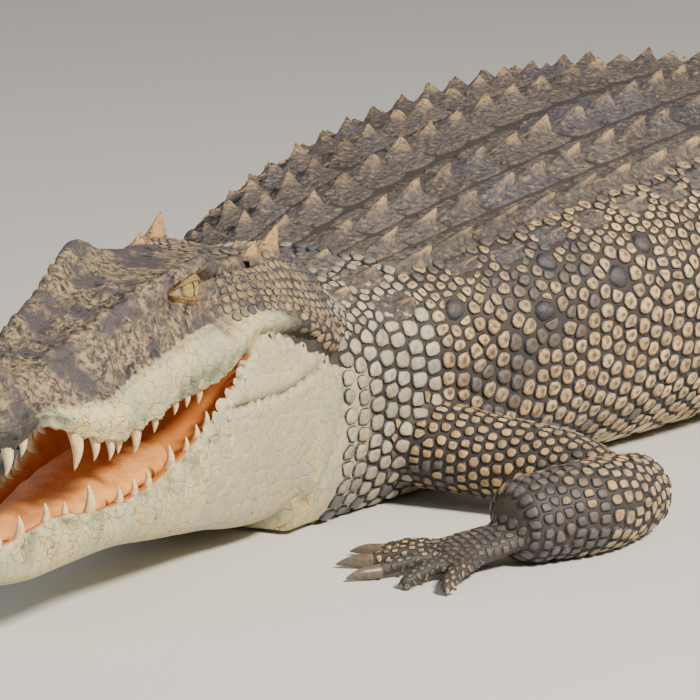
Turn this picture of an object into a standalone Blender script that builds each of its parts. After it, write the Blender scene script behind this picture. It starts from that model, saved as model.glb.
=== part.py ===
"""Saltwater crocodile lying at rest with its mouth a little open, life size, as a still model.

Every sub-part is a closed solid in its own object. The animal lies along Y with its head
towards -Y, its left side towards +X and its belly, throat, hands, feet and tail on z = 0.
"""
import math

import bmesh
import bpy
import numpy as np
from mathutils import Matrix, Vector

# ---------------------------------------------------------------- driving dimensions (metres)
HEAD = 0.70                 # jaw joint to snout tip
BODY = 1.62                 # jaw joint to vent
TAIL = 2.30                 # vent to tail tip
JAW_JOINT = Vector((0.0, -1.5949, 0.210))
HEAD_YAW = math.radians(7.0)            # head turned to its left
SKULL_PITCH = math.radians(2.7)         # snout lifted
JAW_PITCH = math.radians(-5.4)          # lower jaw dropped
HEAD_ROLL = math.radians(1.5)           # left side lower
GAP = 0.0005                # clearance between neighbouring solids
NECK_PLANE = 0.055          # the head ends and the neck begins this far behind the jaw joint
CUTS = (NECK_PLANE, 0.22, 0.92, BODY)   # neck, front and rear of the trunk
TAIL_CUTS = (BODY, 2.20, 2.80, 3.40, BODY + TAIL)

SCUTE_PITCH = 0.078         # one crosswise row of back plates
KEEL = 0.024                # height of a back plate's keel
KEEL_STEP = math.radians(13.5)          # angle between rows of keels round the trunk
CREST_PITCH = 0.092         # one row of tail crest blades
CREST = 0.070               # tallest tail blade
EYE = 0.0235                # eyeball radius
EYE_SPOT = (0.350, 0.090, 0.161)        # eyeball centre, in parts of HEAD
TOOTH_INSET = 0.024         # teeth stand this far in from the lip, in parts of HEAD
TOE = 0.0135                # toe radius at its base
CLAW = 0.034                # claw length

# ------------------------------------------------ outlines, each a few (place, size) pairs
# Skull, as parts of HEAD: place is measured forward from the jaw joint.
LIP_HALF = ((-0.12, 0.195), (-0.03, 0.210), (0.08, 0.208), (0.20, 0.192), (0.33, 0.168), (0.47, 0.150),
            (0.58, 0.140), (0.68, 0.145), (0.76, 0.120), (0.83, 0.093), (0.90, 0.100), (0.96, 0.092))
LIP_LOW = ((-0.12, 0.0), (0.0, 0.0), (0.10, 0.041), (0.20, 0.067), (0.25, 0.048), (0.29, 0.022),
           (0.33, 0.006), (0.43, -0.004), (0.49, -0.024), (0.56, -0.034), (0.68, -0.037), (0.76, -0.015), (0.83, 0.007),
           (0.90, -0.012), (0.96, -0.012))
SIDE_HALF = ((-0.12, 0.160), (0.0, 0.176), (0.10, 0.168), (0.20, 0.150), (0.33, 0.122), (0.45, 0.120),
             (0.58, 0.112), (0.70, 0.112), (0.83, 0.082), (0.90, 0.084), (0.96, 0.076))
RIDGE_HALF = ((-0.12, 0.095), (0.0, 0.102), (0.06, 0.104), (0.20, 0.098), (0.33, 0.118), (0.42, 0.100),
              (0.52, 0.084), (0.68, 0.070), (0.80, 0.058), (0.90, 0.052), (0.96, 0.045))
RIDGE_TOP = ((-0.12, 0.150), (0.0, 0.178), (0.06, 0.182), (0.20, 0.188), (0.33, 0.202), (0.42, 0.188),
             (0.55, 0.152), (0.70, 0.104), (0.82, 0.088), (0.92, 0.100), (0.97, 0.085))
SKULL_TOP = ((-0.12, 0.155), (0.0, 0.175), (0.08, 0.182), (0.20, 0.180), (0.33, 0.176), (0.42, 0.166),
             (0.55, 0.142), (0.70, 0.110), (0.82, 0.094), (0.92, 0.110), (0.97, 0.095))
PALATE = ((-0.12, 0.0), (0.10, 0.041), (0.20, 0.067), (0.35, 0.050), (0.60, 0.020), (0.85, 0.022), (0.97, 0.010))
# Lower jaw, as parts of HEAD, in its own dropped frame.
JAW_HALF = ((-0.14, 0.185), (-0.03, 0.208), (0.10, 0.204), (0.20, 0.186), (0.28, 0.168), (0.38, 0.152),
            (0.50, 0.136), (0.62, 0.122), (0.72, 0.114), (0.82, 0.100), (0.90, 0.082))
JAW_TOP = ((-0.14, -0.09), (-0.04, -0.03), (0.0, 0.0), (0.10, 0.055), (0.20, 0.095), (0.24, 0.066), (0.28, 0.032), (0.36, -0.012),
           (0.46, -0.046), (0.56, -0.058), (0.68, -0.046), (0.80, -0.020), (0.90, -0.030))
JAW_LOW = ((-0.14, -0.235), (0.0, -0.256), (0.15, -0.256), (0.28, -0.222), (0.45, -0.182),
           (0.60, -0.146), (0.75, -0.128), (0.90, -0.118))
JAW_FLOOR = ((-0.14, -0.09), (-0.04, -0.03), (0.0, 0.0), (0.10, 0.055), (0.20, 0.085), (0.26, -0.01), (0.35, -0.055),
             (0.50, -0.084), (0.75, -0.074), (0.90, -0.060))
# Body, in metres: place is measured backward from the jaw joint along the spine.
BODY_HALF = ((-0.06, 0.152), (0.02, 0.156), (0.10, 0.174), (0.24, 0.226), (0.38, 0.280), (0.60, 0.345),
             (0.90, 0.385), (1.15, 0.375), (1.40, 0.310), (1.62, 0.220), (1.90, 0.165), (2.40, 0.128),
             (2.90, 0.090), (3.40, 0.052), (3.80, 0.020), (3.92, 0.008))
BODY_TOP = ((-0.06, 0.300), (0.05, 0.290), (0.20, 0.302), (0.40, 0.330), (0.65, 0.362), (0.95, 0.386),
            (1.25, 0.385), (1.62, 0.328), (1.90, 0.298), (2.40, 0.255), (2.90, 0.200), (3.40, 0.132),
            (3.80, 0.062), (3.92, 0.030))
BODY_WIDE = ((-0.06, 0.150), (0.10, 0.150), (0.40, 0.185), (0.90, 0.200), (1.40, 0.175), (1.90, 0.140),
             (2.90, 0.090), (3.92, 0.014))
BODY_LOW = ((-0.06, -0.022), (0.06, -0.032), (0.24, -0.030), (0.90, -0.032), (1.62, -0.028), (2.40, -0.020),
            (3.40, -0.012), (3.92, -0.004))
TURN = ((-0.2, HEAD_YAW), (0.0, HEAD_YAW), (0.40, 0.0), (1.62, 0.0), (2.10, math.radians(-7.0)),
        (2.70, math.radians(-12.0)), (3.30, math.radians(6.0)), (3.92, math.radians(24.0)))
# Teeth of one side as (place, length beyond the gum): place in parts of HEAD, length in metres.
UPPER_TEETH = ((0.375, 0.012), (0.41, 0.013), (0.445, 0.014), (0.505, 0.014), (0.565, 0.024), (0.632, 0.012),
               (0.665, 0.017), (0.705, 0.021), (0.745, 0.038), (0.87, 0.018), (0.92, 0.024), (0.965, 0.014))
LOWER_TEETH = ((0.34, 0.010), (0.37, 0.011), (0.40, 0.012), (0.45, 0.024), (0.515, 0.014), (0.555, 0.014),
               (0.60, 0.016), (0.69, 0.032), (0.76, 0.012), (0.81, 0.016), (0.865, 0.018), (0.905, 0.022))
TONGUE_SPOT = (0.54, 0.0, -0.072)       # tongue centre, in parts of HEAD
TONGUE_RADII = (0.185, 0.056, 0.016)    # half its length, width and thickness in metres


def along(table, place):
    """Smooth size at a place, through the (place, size) pairs of a table."""
    places, sizes = np.array(table).T
    slopes = np.gradient(sizes, places)
    i = int(np.clip(np.searchsorted(places, place) - 1, 0, len(places) - 2))
    span = places[i + 1] - places[i]
    f = float(np.clip((place - places[i]) / span, 0.0, 1.0))
    hermite = (2 * f**3 - 3 * f**2 + 1, f**3 - 2 * f**2 + f, 3 * f**2 - 2 * f**3, f**3 - f**2)
    ends = (sizes[i], span * slopes[i], sizes[i + 1], span * slopes[i + 1])
    return float(np.dot(hermite, ends))


# ------------------------------------------------------------------------------ scene helpers
def clear_scene():
    for thing in list(bpy.data.objects):
        bpy.data.objects.remove(thing, do_unlink=True)


def collection(name):
    made = bpy.data.collections.new(name)
    bpy.context.scene.collection.children.link(made)
    return made


def material(name, colour, roughness, metallic=0.0):
    made = bpy.data.materials.new(name)
    made.use_nodes = True
    shader = made.node_tree.nodes["Principled BSDF"]
    shader.inputs["Base Color"].default_value = (*colour, 1.0)
    shader.inputs["Roughness"].default_value = roughness
    shader.inputs["Metallic"].default_value = metallic
    return made


def add_object(name, mesh, group, slot):
    thing = bpy.data.objects.new(name, mesh)
    group.objects.link(thing)
    mesh.materials.clear()
    mesh.materials.append(slot)
    return thing


def add_tool(name, shape, cutters, slot):
    """Object that only serves to cut or join others."""
    thing = add_object(name, mesh_from(shape, name), cutters, slot)
    thing.hide_render = True
    thing.display_type = "WIRE"
    return thing


def mesh_from(shape, name):
    bmesh.ops.recalc_face_normals(shape, faces=shape.faces)
    if shape.calc_volume(signed=True) < 0.0:
        bmesh.ops.reverse_faces(shape, faces=shape.faces)
    mesh = bpy.data.meshes.new(name)
    shape.to_mesh(mesh)
    shape.free()
    mesh.shade_smooth()
    mesh.set_sharp_from_angle(angle=math.radians(50.0))
    return mesh


def loft(rings):
    """Closed shape through rings of equal point counts, capped at both ends."""
    shape = bmesh.new()
    loops = [[shape.verts.new(point) for point in ring] for ring in rings]
    count = len(loops[0])
    for near, far in zip(loops, loops[1:]):
        for i in range(count):
            j = (i + 1) % count
            shape.faces.new((near[i], near[j], far[j], far[i]))
    shape.faces.new(loops[0])
    shape.faces.new(list(reversed(loops[-1])))
    bmesh.ops.triangulate(shape, faces=[f for f in shape.faces if len(f.verts) > 4])
    return shape


def boolean(thing, tools, operation):
    """Join other objects to this one, or cut them out of it, and keep the result as its mesh."""
    for tool in tools:
        step = thing.modifiers.new("cut", "BOOLEAN")
        step.operation = operation
        step.solver = "EXACT"
        step.object = tool
    bpy.context.view_layer.update()
    depsgraph = bpy.context.evaluated_depsgraph_get()
    mesh = bpy.data.meshes.new_from_object(thing.evaluated_get(depsgraph))
    thing.modifiers.clear()
    thing.data = mesh


def swollen(thing, cutters, amount=GAP):
    """Copy of a solid grown by the clearance, for cutting its neighbours."""
    shape = bmesh.new()
    shape.from_mesh(thing.data)
    shape.normal_update()
    places = [vert.co + vert.normal * amount for vert in shape.verts]
    for vert, place in zip(shape.verts, places):
        vert.co = place
    return add_tool(thing.name + "_grown", shape, cutters, thing.data.materials[0])


def cut_by(thing, others, cutters, amount=GAP):
    """Cut a solid back so that it clears its neighbours."""
    boolean(thing, [swollen(other, cutters, amount) for other in others], "DIFFERENCE")


def trim(shape, point, normal):
    """Remove what lies on the normal's side of a plane and close the cut."""
    geometry = shape.verts[:] + shape.edges[:] + shape.faces[:]
    cut = bmesh.ops.bisect_plane(shape, geom=geometry, plane_co=point, plane_no=normal, clear_outer=True,
                                 dist=1e-6)
    edges = [item for item in cut["geom_cut"] if isinstance(item, bmesh.types.BMEdge)]
    bmesh.ops.contextual_create(shape, geom=edges)
    bmesh.ops.triangulate(shape, faces=[f for f in shape.faces if len(f.verts) > 4])


# --------------------------------------------------------------------------------------- spine
def spine_table():
    """Plan position of the spine at every centimetre from just ahead of the jaw joint."""
    step = 0.01
    places = np.arange(-0.20, BODY + TAIL + 0.02, step)
    turns = np.array([along(TURN, place) for place in places])
    moves = np.stack((-np.sin(turns), np.cos(turns)), axis=1) * step
    track = np.cumsum(moves, axis=0) - moves
    start = int(round(0.20 / step))
    return places, track - track[start]


SPINE_PLACES, SPINE_TRACK = spine_table()


def spine_frame(place):
    """Point on the floor under the spine, and the direction to the animal's left."""
    x = float(np.interp(place, SPINE_PLACES, SPINE_TRACK[:, 0])) + JAW_JOINT.x
    y = float(np.interp(place, SPINE_PLACES, SPINE_TRACK[:, 1])) + JAW_JOINT.y
    turn = along(TURN, place)
    return Vector((x, y, 0.0)), Vector((math.cos(turn), math.sin(turn), 0.0))


def back_direction(place):
    turn = along(TURN, place)
    return Vector((-math.sin(turn), math.cos(turn), 0.0))


def signed_power(value, power):
    return math.copysign(abs(value) ** power, value)


def section_point(place, angle):
    """Point of the body's outline, the angle running from the back's midline round the left side."""
    half, top = along(BODY_HALF, place), along(BODY_TOP, place)
    wide, low = along(BODY_WIDE, place), along(BODY_LOW, place)
    side, up = math.sin(angle), math.cos(angle)
    x = half * signed_power(side, 0.82)
    z = wide + (top - wide) * up**0.82 if up > 0 else wide - (wide - low) * abs(up) ** 0.62
    return x, z


def bump(distance, width):
    return math.exp(-(distance / width) ** 2)


# ---------------------------------------------------------------------------------- body rings
BACK_ANGLES = [KEEL_STEP * 0.5 * i for i in range(9)]      # keels at odd places, valleys at even ones
TRUNK_ANGLES = BACK_ANGLES + [math.radians(a) for a in (72.0, 90.0, 108.0, 128.0, 152.0, 180.0)]
TAIL_ANGLES = [math.radians(a) for a in (0.0, 14.0, 28.0, 48.0, 80.0, 120.0, 152.0, 180.0)]


def keel_height(place, index, peak):
    """Rise of the back plates' keels over the skin at one point of a trunk ring."""
    if index >= len(BACK_ANGLES) or index % 2 == 0:
        return 0.0
    return KEEL * float(np.clip((place - 0.02) / 0.3, 0.25, 1.0)) * (1.0 if peak else 0.30)


def crest_height(place, lateral, peak):
    """Rise of the tail's crest: two rows of blades that join into one beyond its middle."""
    f = (place - BODY) / TAIL
    tall = CREST * math.sin(math.pi * min(1.0, 0.15 + f * 0.85)) ** 0.6
    row = 0.5 * (1.0 - float(np.clip((f - 0.45) / 0.12, 0.0, 1.0)))
    return tall * (1.0 if peak else 0.35) * bump(lateral - row, 0.16)


def place_on_body(place, x, z):
    origin, left = spine_frame(place)
    return origin + left * x + Vector((0.0, 0.0, max(z, 0.0)))


def trunk_point(place, index, peak):
    angle = TRUNK_ANGLES[index]
    x, z = section_point(place, angle)
    rise = keel_height(place, index, peak)
    return x + math.sin(angle) * rise, z + math.cos(angle) * rise


def tail_point(place, index, peak):
    x, z = section_point(place, TAIL_ANGLES[index])
    if z > along(BODY_WIDE, place):
        z += crest_height(place, abs(x) / along(BODY_HALF, place), peak)
    return x, z


def body_ring(place, peak, point, count):
    """Whole ring from the points of its left half."""
    half = [point(place, index, peak) for index in range(count)]
    right = [(-x, z) for x, z in reversed(half[1:-1])]
    return [place_on_body(place, x, z) for x, z in half + right]


def alternate_places(start, end, pitch):
    """Places half a pitch apart, by turns at a row's peak and in the valley between rows."""
    count = max(2, round((end - start) / (0.5 * pitch)))
    return [(start + (end - start) * i / count, i % 2 == 1) for i in range(count + 1)]


def body_length(start, end, pitch, point, angles):
    """One length of the body, parted from its neighbours by thin gaps."""
    places = alternate_places(start, end, pitch)
    places[0] = (start + GAP * 0.5, False)
    places[-1] = (end - GAP * 0.5, places[-1][1])
    return loft([body_ring(place, peak, point, len(angles)) for place, peak in places])


# --------------------------------------------------------------------------------------- head
SKULL_PLACES = (-0.11, -0.05, 0.01, 0.055, 0.10, 0.20, 0.25, 0.30, 0.35, 0.42, 0.44, 0.49, 0.58, 0.68, 0.76,
                0.83, 0.89, 0.94, 0.975, 0.996)
JAW_PLACES = (-0.12, -0.05, 0.0, 0.08, 0.14, 0.19, 0.23, 0.28, 0.34, 0.42, 0.50, 0.58, 0.66, 0.74, 0.81, 0.87,
              0.91, 0.935, 0.944)
SKULL_MIDDLE = 0.035        # height towards which the snout's tip rounds
JAW_MIDDLE = -0.075         # the same for the chin
JAW_REACH = 0.945           # chin tip, in parts of HEAD


def head_frame(pitch):
    """Matrix from forward, left, up in the head to the world, about the jaw joint."""
    ahead = Vector((math.sin(HEAD_YAW) * math.cos(pitch), -math.cos(HEAD_YAW) * math.cos(pitch),
                    math.sin(pitch)))
    level = Vector((math.cos(HEAD_YAW), math.sin(HEAD_YAW), 0.0))
    left = level * math.cos(HEAD_ROLL) - ahead.cross(level) * math.sin(HEAD_ROLL)
    matrix = Matrix((ahead, left, ahead.cross(left))).transposed().to_4x4()
    matrix.translation = JAW_JOINT
    return matrix


SKULL = head_frame(SKULL_PITCH)
JAW = head_frame(JAW_PITCH)


def smooth_curve(points, steps, closed):
    """Curve through the points, each stretch cut into equal steps."""
    knots = np.array(points, dtype=float)
    if closed:
        knots = np.vstack((knots[-1], knots, knots[:2]))
    else:
        knots = np.vstack((2 * knots[0] - knots[1], knots, 2 * knots[-1] - knots[-2]))
    curve = []
    for i in range(1, len(knots) - 2):
        p0, p1, p2, p3 = knots[i - 1:i + 3]
        for f in np.arange(steps) / steps:
            bend = (p2 - p0) * f + (2 * p0 - 5 * p1 + 4 * p2 - p3) * f**2
            curve.append(p1 + 0.5 * (bend + (3 * p1 - p0 - 3 * p2 + p3) * f**3))
    if not closed:
        curve.append(knots[-2])
    return np.array(curve)


def tip_factor(f, start):
    """Rounds the end of a jaw: 1 up to the start place, falling to 0 at the tip."""
    return math.sqrt(max(0.0, 1.0 - (max(0.0, f - start) / (1.0 - start)) ** 2))


def skull_profile(f):
    """Left half of the skull's section, from the crown's midline to the palate's."""
    lip, low = along(LIP_HALF, f), along(LIP_LOW, f)
    ridge, high = along(RIDGE_HALF, f), along(RIDGE_TOP, f)
    top, roof = along(SKULL_TOP, f), along(PALATE, f)
    corner = high + 0.010 * bump(f - 0.34, 0.05) + 0.028 * bump(f - 0.055, 0.03)
    return [(0.0, top), (ridge * 0.60, top + 0.3 * (high - top)), (ridge, corner),
            (along(SIDE_HALF, f), low + 0.62 * (high - low)), (lip, low + 0.30 * (high - low)),
            (lip * 0.985, low + 0.03), (lip - 0.012, low), (lip - 0.040, max(low, roof - 0.01)),
            (lip * 0.4, roof), (0.0, roof)]


def jaw_profile(f):
    """Left half of the lower jaw's section, from the mouth's floor to the throat."""
    half, top = along(JAW_HALF, f), along(JAW_TOP, f)
    low, floor = along(JAW_LOW, f), along(JAW_FLOOR, f)
    return [(0.0, floor), (half * 0.55, floor), (half - 0.036, floor + 0.7 * (top - floor)), (half - 0.018, top),
            (half - 0.004, top - 0.006), (half, top - 0.25 * (top - low)),
            (half * 0.97, top - 0.55 * (top - low)), (half * 0.80, low + 0.10 * (top - low)),
            (half * 0.5, low), (0.0, low)]


def skull_point(f, x, z):
    """Place on the skull from lengths in parts of HEAD, drawn in with the rounded snout."""
    shrink = tip_factor(f, 0.90)
    z = SKULL_MIDDLE + (z - SKULL_MIDDLE) * (0.25 + 0.75 * shrink)
    return SKULL @ Vector((f * HEAD, x * shrink * HEAD, z * HEAD))


def jaw_point(f, x, z):
    shrink = tip_factor(f / JAW_REACH, 0.86)
    z = JAW_MIDDLE + (z - JAW_MIDDLE) * (0.35 + 0.65 * shrink)
    return JAW @ Vector((f * HEAD, x * shrink * HEAD, z * HEAD))


def head_ring(f, profile, point, steps):
    half = profile(f)
    ring = smooth_curve(half + [(-x, z) for x, z in reversed(half[1:-1])], steps, closed=True)
    return [point(f, x, z) for x, z in ring]


def head_part(places, profile, point, steps):
    """Skull or lower jaw, ended behind by the upright plane where the neck begins."""
    shape = loft([head_ring(f, profile, point, steps) for f in places])
    origin, _ = spine_frame(NECK_PLANE)
    back = back_direction(NECK_PLANE)
    trim(shape, origin - back * GAP * 0.5, back)
    return shape


def ellipsoid(centre, radii, turn, segments, rings):
    shape = bmesh.new()
    bmesh.ops.create_uvsphere(shape, u_segments=segments, v_segments=rings, radius=1.0)
    matrix = Matrix.Translation(centre) @ turn @ Matrix.Diagonal((*radii, 1.0))
    bmesh.ops.transform(shape, matrix=matrix, verts=shape.verts)
    return shape


def cone(root, tip, radius):
    """Tooth from its root, a little inside the jaw, to its point."""
    axis = tip - root
    turn = axis.to_track_quat("Z", "Y").to_matrix().to_4x4()
    shape = bmesh.new()
    bmesh.ops.create_cone(shape, cap_ends=True, cap_tris=True, segments=5, radius1=radius, radius2=0.0,
                          depth=axis.length, matrix=Matrix.Translation((root + tip) * 0.5) @ turn)
    return shape


def tooth_tools(name, table, point, half, rim, drop, cutters, slot):
    """Cones along both sides of one jaw, to be joined to it."""
    tools = []
    for f, length in table:
        for side in (1, -1):
            x = side * (along(half, f) - TOOTH_INSET)
            z = along(rim, f)
            shape = cone(point(f, x, z - drop * 0.014), point(f, x + side * 0.006, z + drop * length / HEAD),
                         0.004 + 0.16 * length)
            tools.append(add_tool(f"{name}_{len(tools) + 1}", shape, cutters, slot))
    return tools


# --------------------------------------------------------------------------------------- limbs
# Left limbs as (x, y, z, radius): x out from the body's midline, y back from the jaw joint.
UPPER_ARM = ((0.10, 0.20, 0.085, 0.060), (0.25, 0.220, 0.066, 0.053), (0.35, 0.226, 0.057, 0.050),
             (0.430, 0.208, 0.050, 0.036))
FOREARM = ((0.450, 0.208, 0.048, 0.050), (0.446, 0.108, 0.052, 0.057), (0.406, 0.016, 0.050, 0.053))
THIGH = ((0.08, 1.50, 0.170, 0.110), (0.25, 1.42, 0.150, 0.098), (0.36, 1.36, 0.115, 0.076),
         (0.42, 1.33, 0.080, 0.062))
SHANK = ((0.435, 1.335, 0.070, 0.060), (0.455, 1.44, 0.060, 0.054), (0.435, 1.54, 0.046, 0.042))
# Feet as wrist point, heading from straight ahead towards the midline, palm length and half width,
# and the toes' headings and lengths from the innermost.
HAND = {"wrist": (0.398, 0.006, 0.034, 0.036), "heading": 35.0, "palm": 0.085, "half": 0.044,
        "toes": ((78.0, 0.080), (56.0, 0.098), (36.0, 0.105), (14.0, 0.100), (-10.0, 0.088))}
FOOT = {"wrist": (0.435, 1.55, 0.038, 0.040), "heading": -52.0, "palm": 0.150, "half": 0.056,
        "toes": ((-26.0, 0.120), (-43.0, 0.140), (-60.0, 0.140), (-79.0, 0.120))}
CLAWED = 3                  # toes with claws on every foot, from the innermost


def tube(points, steps, sides, flat=1.0, blunt=True):
    """Closed limb along (x, y, z, radius) points; flat is its height over its width."""
    path = smooth_curve(points, steps, closed=False)
    if blunt:
        first = path[0] + (path[0] - path[1]) / np.linalg.norm((path[1] - path[0])[:3]) * path[0][3] * 0.35
        last = path[-1] + (path[-1] - path[-2]) / np.linalg.norm((path[-1] - path[-2])[:3]) * path[-1][3] * 0.35
        first[3], last[3] = path[0][3] * 0.72, path[-1][3] * 0.72
        path = np.vstack((first, path, last))
    rings = []
    for i, knot in enumerate(path):
        ahead = Vector(path[min(i + 1, len(path) - 1)][:3] - path[max(i - 1, 0)][:3]).normalized()
        side = ahead.cross(Vector((0.0, 0.0, 1.0))).normalized()
        up = side.cross(ahead)
        ring = []
        for k in range(sides):
            angle = 2.0 * math.pi * (k + 0.5) / sides
            place = Vector(knot[:3]) + side * knot[3] * math.cos(angle) + up * knot[3] * flat * math.sin(angle)
            place.z = max(place.z, 0.0)
            ring.append(place)
        rings.append(ring)
    return loft(rings)


def on_side(point, side):
    """Point of a limb moved to the left (1) or the right (-1) of the animal in the world."""
    return (JAW_JOINT.x + side * point[0], JAW_JOINT.y + point[1], *point[2:])


def toe_shapes(base, heading, length, side):
    """Toe resting on the floor and the claw that carries on from it."""
    ahead = Vector((-side * math.sin(heading), -math.cos(heading), 0.0))
    tip = base + ahead * length
    tip.z = TOE * 0.62
    middle = (base + tip) * 0.5 + Vector((0.0, 0.0, TOE * 0.35))
    toe = tube([(*base, TOE), (*middle, TOE * 0.92), (*tip, TOE * 0.70)], 1, 6, 0.9, blunt=False)
    nail = []
    for f, size in ((0.0, 0.58), (0.4, 0.46), (0.75, 0.26), (1.0, 0.06)):
        spot = tip + ahead * (GAP + CLAW * f) + Vector((0.0, 0.0, CLAW * (0.10 * f - 0.20 * f * f)))
        nail.append((*spot, TOE * size))
    return toe, tube(nail, 1, 5, 1.0, blunt=False)


def foot(name, size, side, group, cutters, slots):
    """Palm with its toes joined to it, and the claws in their own objects."""
    wrist = Vector(on_side(size["wrist"], side)[:3])
    heading = math.radians(size["heading"])
    ahead = Vector((-side * math.sin(heading), -math.cos(heading), 0.0))
    across = Vector((-side * math.cos(heading), math.sin(heading), 0.0))
    knuckle = wrist + ahead * size["palm"]
    knuckle.z = 0.017
    start, half = size["wrist"][3], size["half"]
    palm = tube([(*wrist, start), (*((wrist + knuckle) * 0.5), (start + half) * 0.5), (*knuckle, half)],
                2, 8, 0.45)
    thing = add_object(name, mesh_from(palm, name), group, slots["hide"])
    tools, claws = [], []
    last = len(size["toes"]) - 1
    for i, (turn, length) in enumerate(size["toes"]):
        base = knuckle + across * half * (0.78 - 1.56 * i / last) - ahead * 0.012
        toe, nail = toe_shapes(base, math.radians(turn), length, side)
        tools.append(add_tool(f"{name}_toe_{i + 1}", toe, cutters, slots["hide"]))
        if i < CLAWED:
            claw = f"claw_{name}_{i + 1}"
            claws.append(add_object(claw, mesh_from(nail, claw), group, slots["claw"]))
        else:
            nail.free()
    boolean(thing, tools, "UNION")
    return thing, claws


def limb(names, upper, lower, end, side, body, group, cutters, slots):
    """One leg: its lower length whole, the others cut back where they meet it and the body."""
    low = tube([on_side(point, side) for point in lower], 2, 8)
    low_thing = add_object(names[1], mesh_from(low, names[1]), group, slots["hide"])
    high = tube([on_side(point, side) for point in upper], 1, 9, blunt=False)
    high_thing = add_object(names[0], mesh_from(high, names[0]), group, slots["hide"])
    cut_by(high_thing, [low_thing] + body, cutters, 3.0 * GAP)
    end_thing, claws = foot(names[2], end, side, group, cutters, slots)
    cut_by(end_thing, [low_thing], cutters)
    for claw in claws:
        cut_by(claw, [end_thing], cutters)


# ------------------------------------------------------------------------------------ the animal
def make_head(group, cutters, slots):
    skull = add_object("head_upper", mesh_from(head_part(SKULL_PLACES, skull_profile, skull_point, 2),
                                               "head_upper"), group, slots["hide"])
    jaw = add_object("jaw_lower", mesh_from(head_part(JAW_PLACES, jaw_profile, jaw_point, 1), "jaw_lower"),
                     group, slots["hide"])
    cut_by(jaw, [skull], cutters, 4.0 * GAP)
    sockets = []
    for side, name in ((1, "left"), (-1, "right")):
        centre = skull_point(EYE_SPOT[0], side * EYE_SPOT[1], EYE_SPOT[2])
        turn = SKULL.to_3x3().to_4x4()
        ball = ellipsoid(centre, (EYE,) * 3, turn, 12, 7)
        add_object(f"eye_{name}", mesh_from(ball, f"eye_{name}"), group, slots["eye"])
        hollow = ellipsoid(centre, (EYE + GAP,) * 3, turn, 12, 7)
        sockets.append(add_tool(f"socket_{name}", hollow, cutters, slots["hide"]))
    boolean(skull, sockets, "DIFFERENCE")
    tongue = ellipsoid(jaw_point(*TONGUE_SPOT), TONGUE_RADII, JAW.to_3x3().to_4x4(), 12, 6)
    tongue_thing = add_object("tongue", mesh_from(tongue, "tongue"), group, slots["tongue"])
    cut_by(tongue_thing, [jaw], cutters)
    boolean(skull, tooth_tools("upper_tooth", UPPER_TEETH, skull_point, LIP_HALF, LIP_LOW, -1.0, cutters,
                               slots["tooth"]), "UNION")
    boolean(jaw, tooth_tools("lower_tooth", LOWER_TEETH, jaw_point, JAW_HALF, JAW_TOP, 1.0, cutters,
                             slots["tooth"]), "UNION")


def make_body(group, slots):
    """Neck, trunk and tail; returns the pieces that the legs meet."""
    made = []
    for name, start, end in zip(("neck", "trunk_front", "trunk_rear"), CUTS, CUTS[1:]):
        shape = body_length(start, end, SCUTE_PITCH, trunk_point, TRUNK_ANGLES)
        made.append(add_object(name, mesh_from(shape, name), group, slots["hide"]))
    for i, (start, end) in enumerate(zip(TAIL_CUTS, TAIL_CUTS[1:])):
        shape = body_length(start, end, CREST_PITCH, tail_point, TAIL_ANGLES)
        add_object(f"tail_{i + 1}", mesh_from(shape, f"tail_{i + 1}"), group, slots["hide"])
    return made


def main():
    clear_scene()
    group = collection("saltwater_crocodile")
    cutters = collection("cutters")
    slots = {"hide": material("hide", (0.30, 0.27, 0.20), 0.55), "tooth": material("tooth", (0.80, 0.70, 0.52), 0.35),
             "eye": material("eye", (0.45, 0.40, 0.12), 0.10), "claw": material("claw", (0.10, 0.08, 0.07), 0.40),
             "tongue": material("tongue", (0.70, 0.38, 0.16), 0.45)}
    make_head(group, cutters, slots)
    neck, front, rear = make_body(group, slots)
    for side, word in ((1, "left"), (-1, "right")):
        limb((f"upper_arm_{word}", f"forearm_{word}", f"hand_{word}"), UPPER_ARM, FOREARM, HAND, side,
             [neck, front], group, cutters, slots)
        limb((f"thigh_{word}", f"shank_{word}", f"foot_{word}"), THIGH, SHANK, FOOT, side, [rear],
             group, cutters, slots)


main()
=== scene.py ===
# %% [markdown]
# # Saltwater crocodile at rest
# This notebook dresses a imported model of a life-size saltwater crocodile. The solids give the size,
# the place and the outline of every named length of the body. Here one continuous skin goes over
# them, and horny scales, back plates, teeth, eyes and claws go on the skin.
#
# We begin by loading the imported model as a fixed frame.

# %% Load the frame
import math

import bmesh
import bpy
import numpy as np
from mathutils import Matrix, Vector
from mathutils.bvhtree import BVHTree
from mathutils.kdtree import KDTree


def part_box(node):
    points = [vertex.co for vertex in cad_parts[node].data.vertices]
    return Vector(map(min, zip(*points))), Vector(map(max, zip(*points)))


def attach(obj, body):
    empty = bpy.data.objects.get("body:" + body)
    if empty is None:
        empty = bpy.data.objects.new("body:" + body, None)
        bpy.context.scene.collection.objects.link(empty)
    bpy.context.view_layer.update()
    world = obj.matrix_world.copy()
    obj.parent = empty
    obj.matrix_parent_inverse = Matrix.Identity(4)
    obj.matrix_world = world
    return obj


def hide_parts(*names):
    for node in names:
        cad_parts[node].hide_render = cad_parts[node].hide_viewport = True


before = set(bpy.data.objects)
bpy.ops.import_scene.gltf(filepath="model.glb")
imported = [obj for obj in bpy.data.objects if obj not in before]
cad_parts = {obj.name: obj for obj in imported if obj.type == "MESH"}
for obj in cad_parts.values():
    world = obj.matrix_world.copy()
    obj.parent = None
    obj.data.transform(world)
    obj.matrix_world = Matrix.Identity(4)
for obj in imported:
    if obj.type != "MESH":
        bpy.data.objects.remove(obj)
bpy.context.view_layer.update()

print("nodes to dress:", len(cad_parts))

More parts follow.
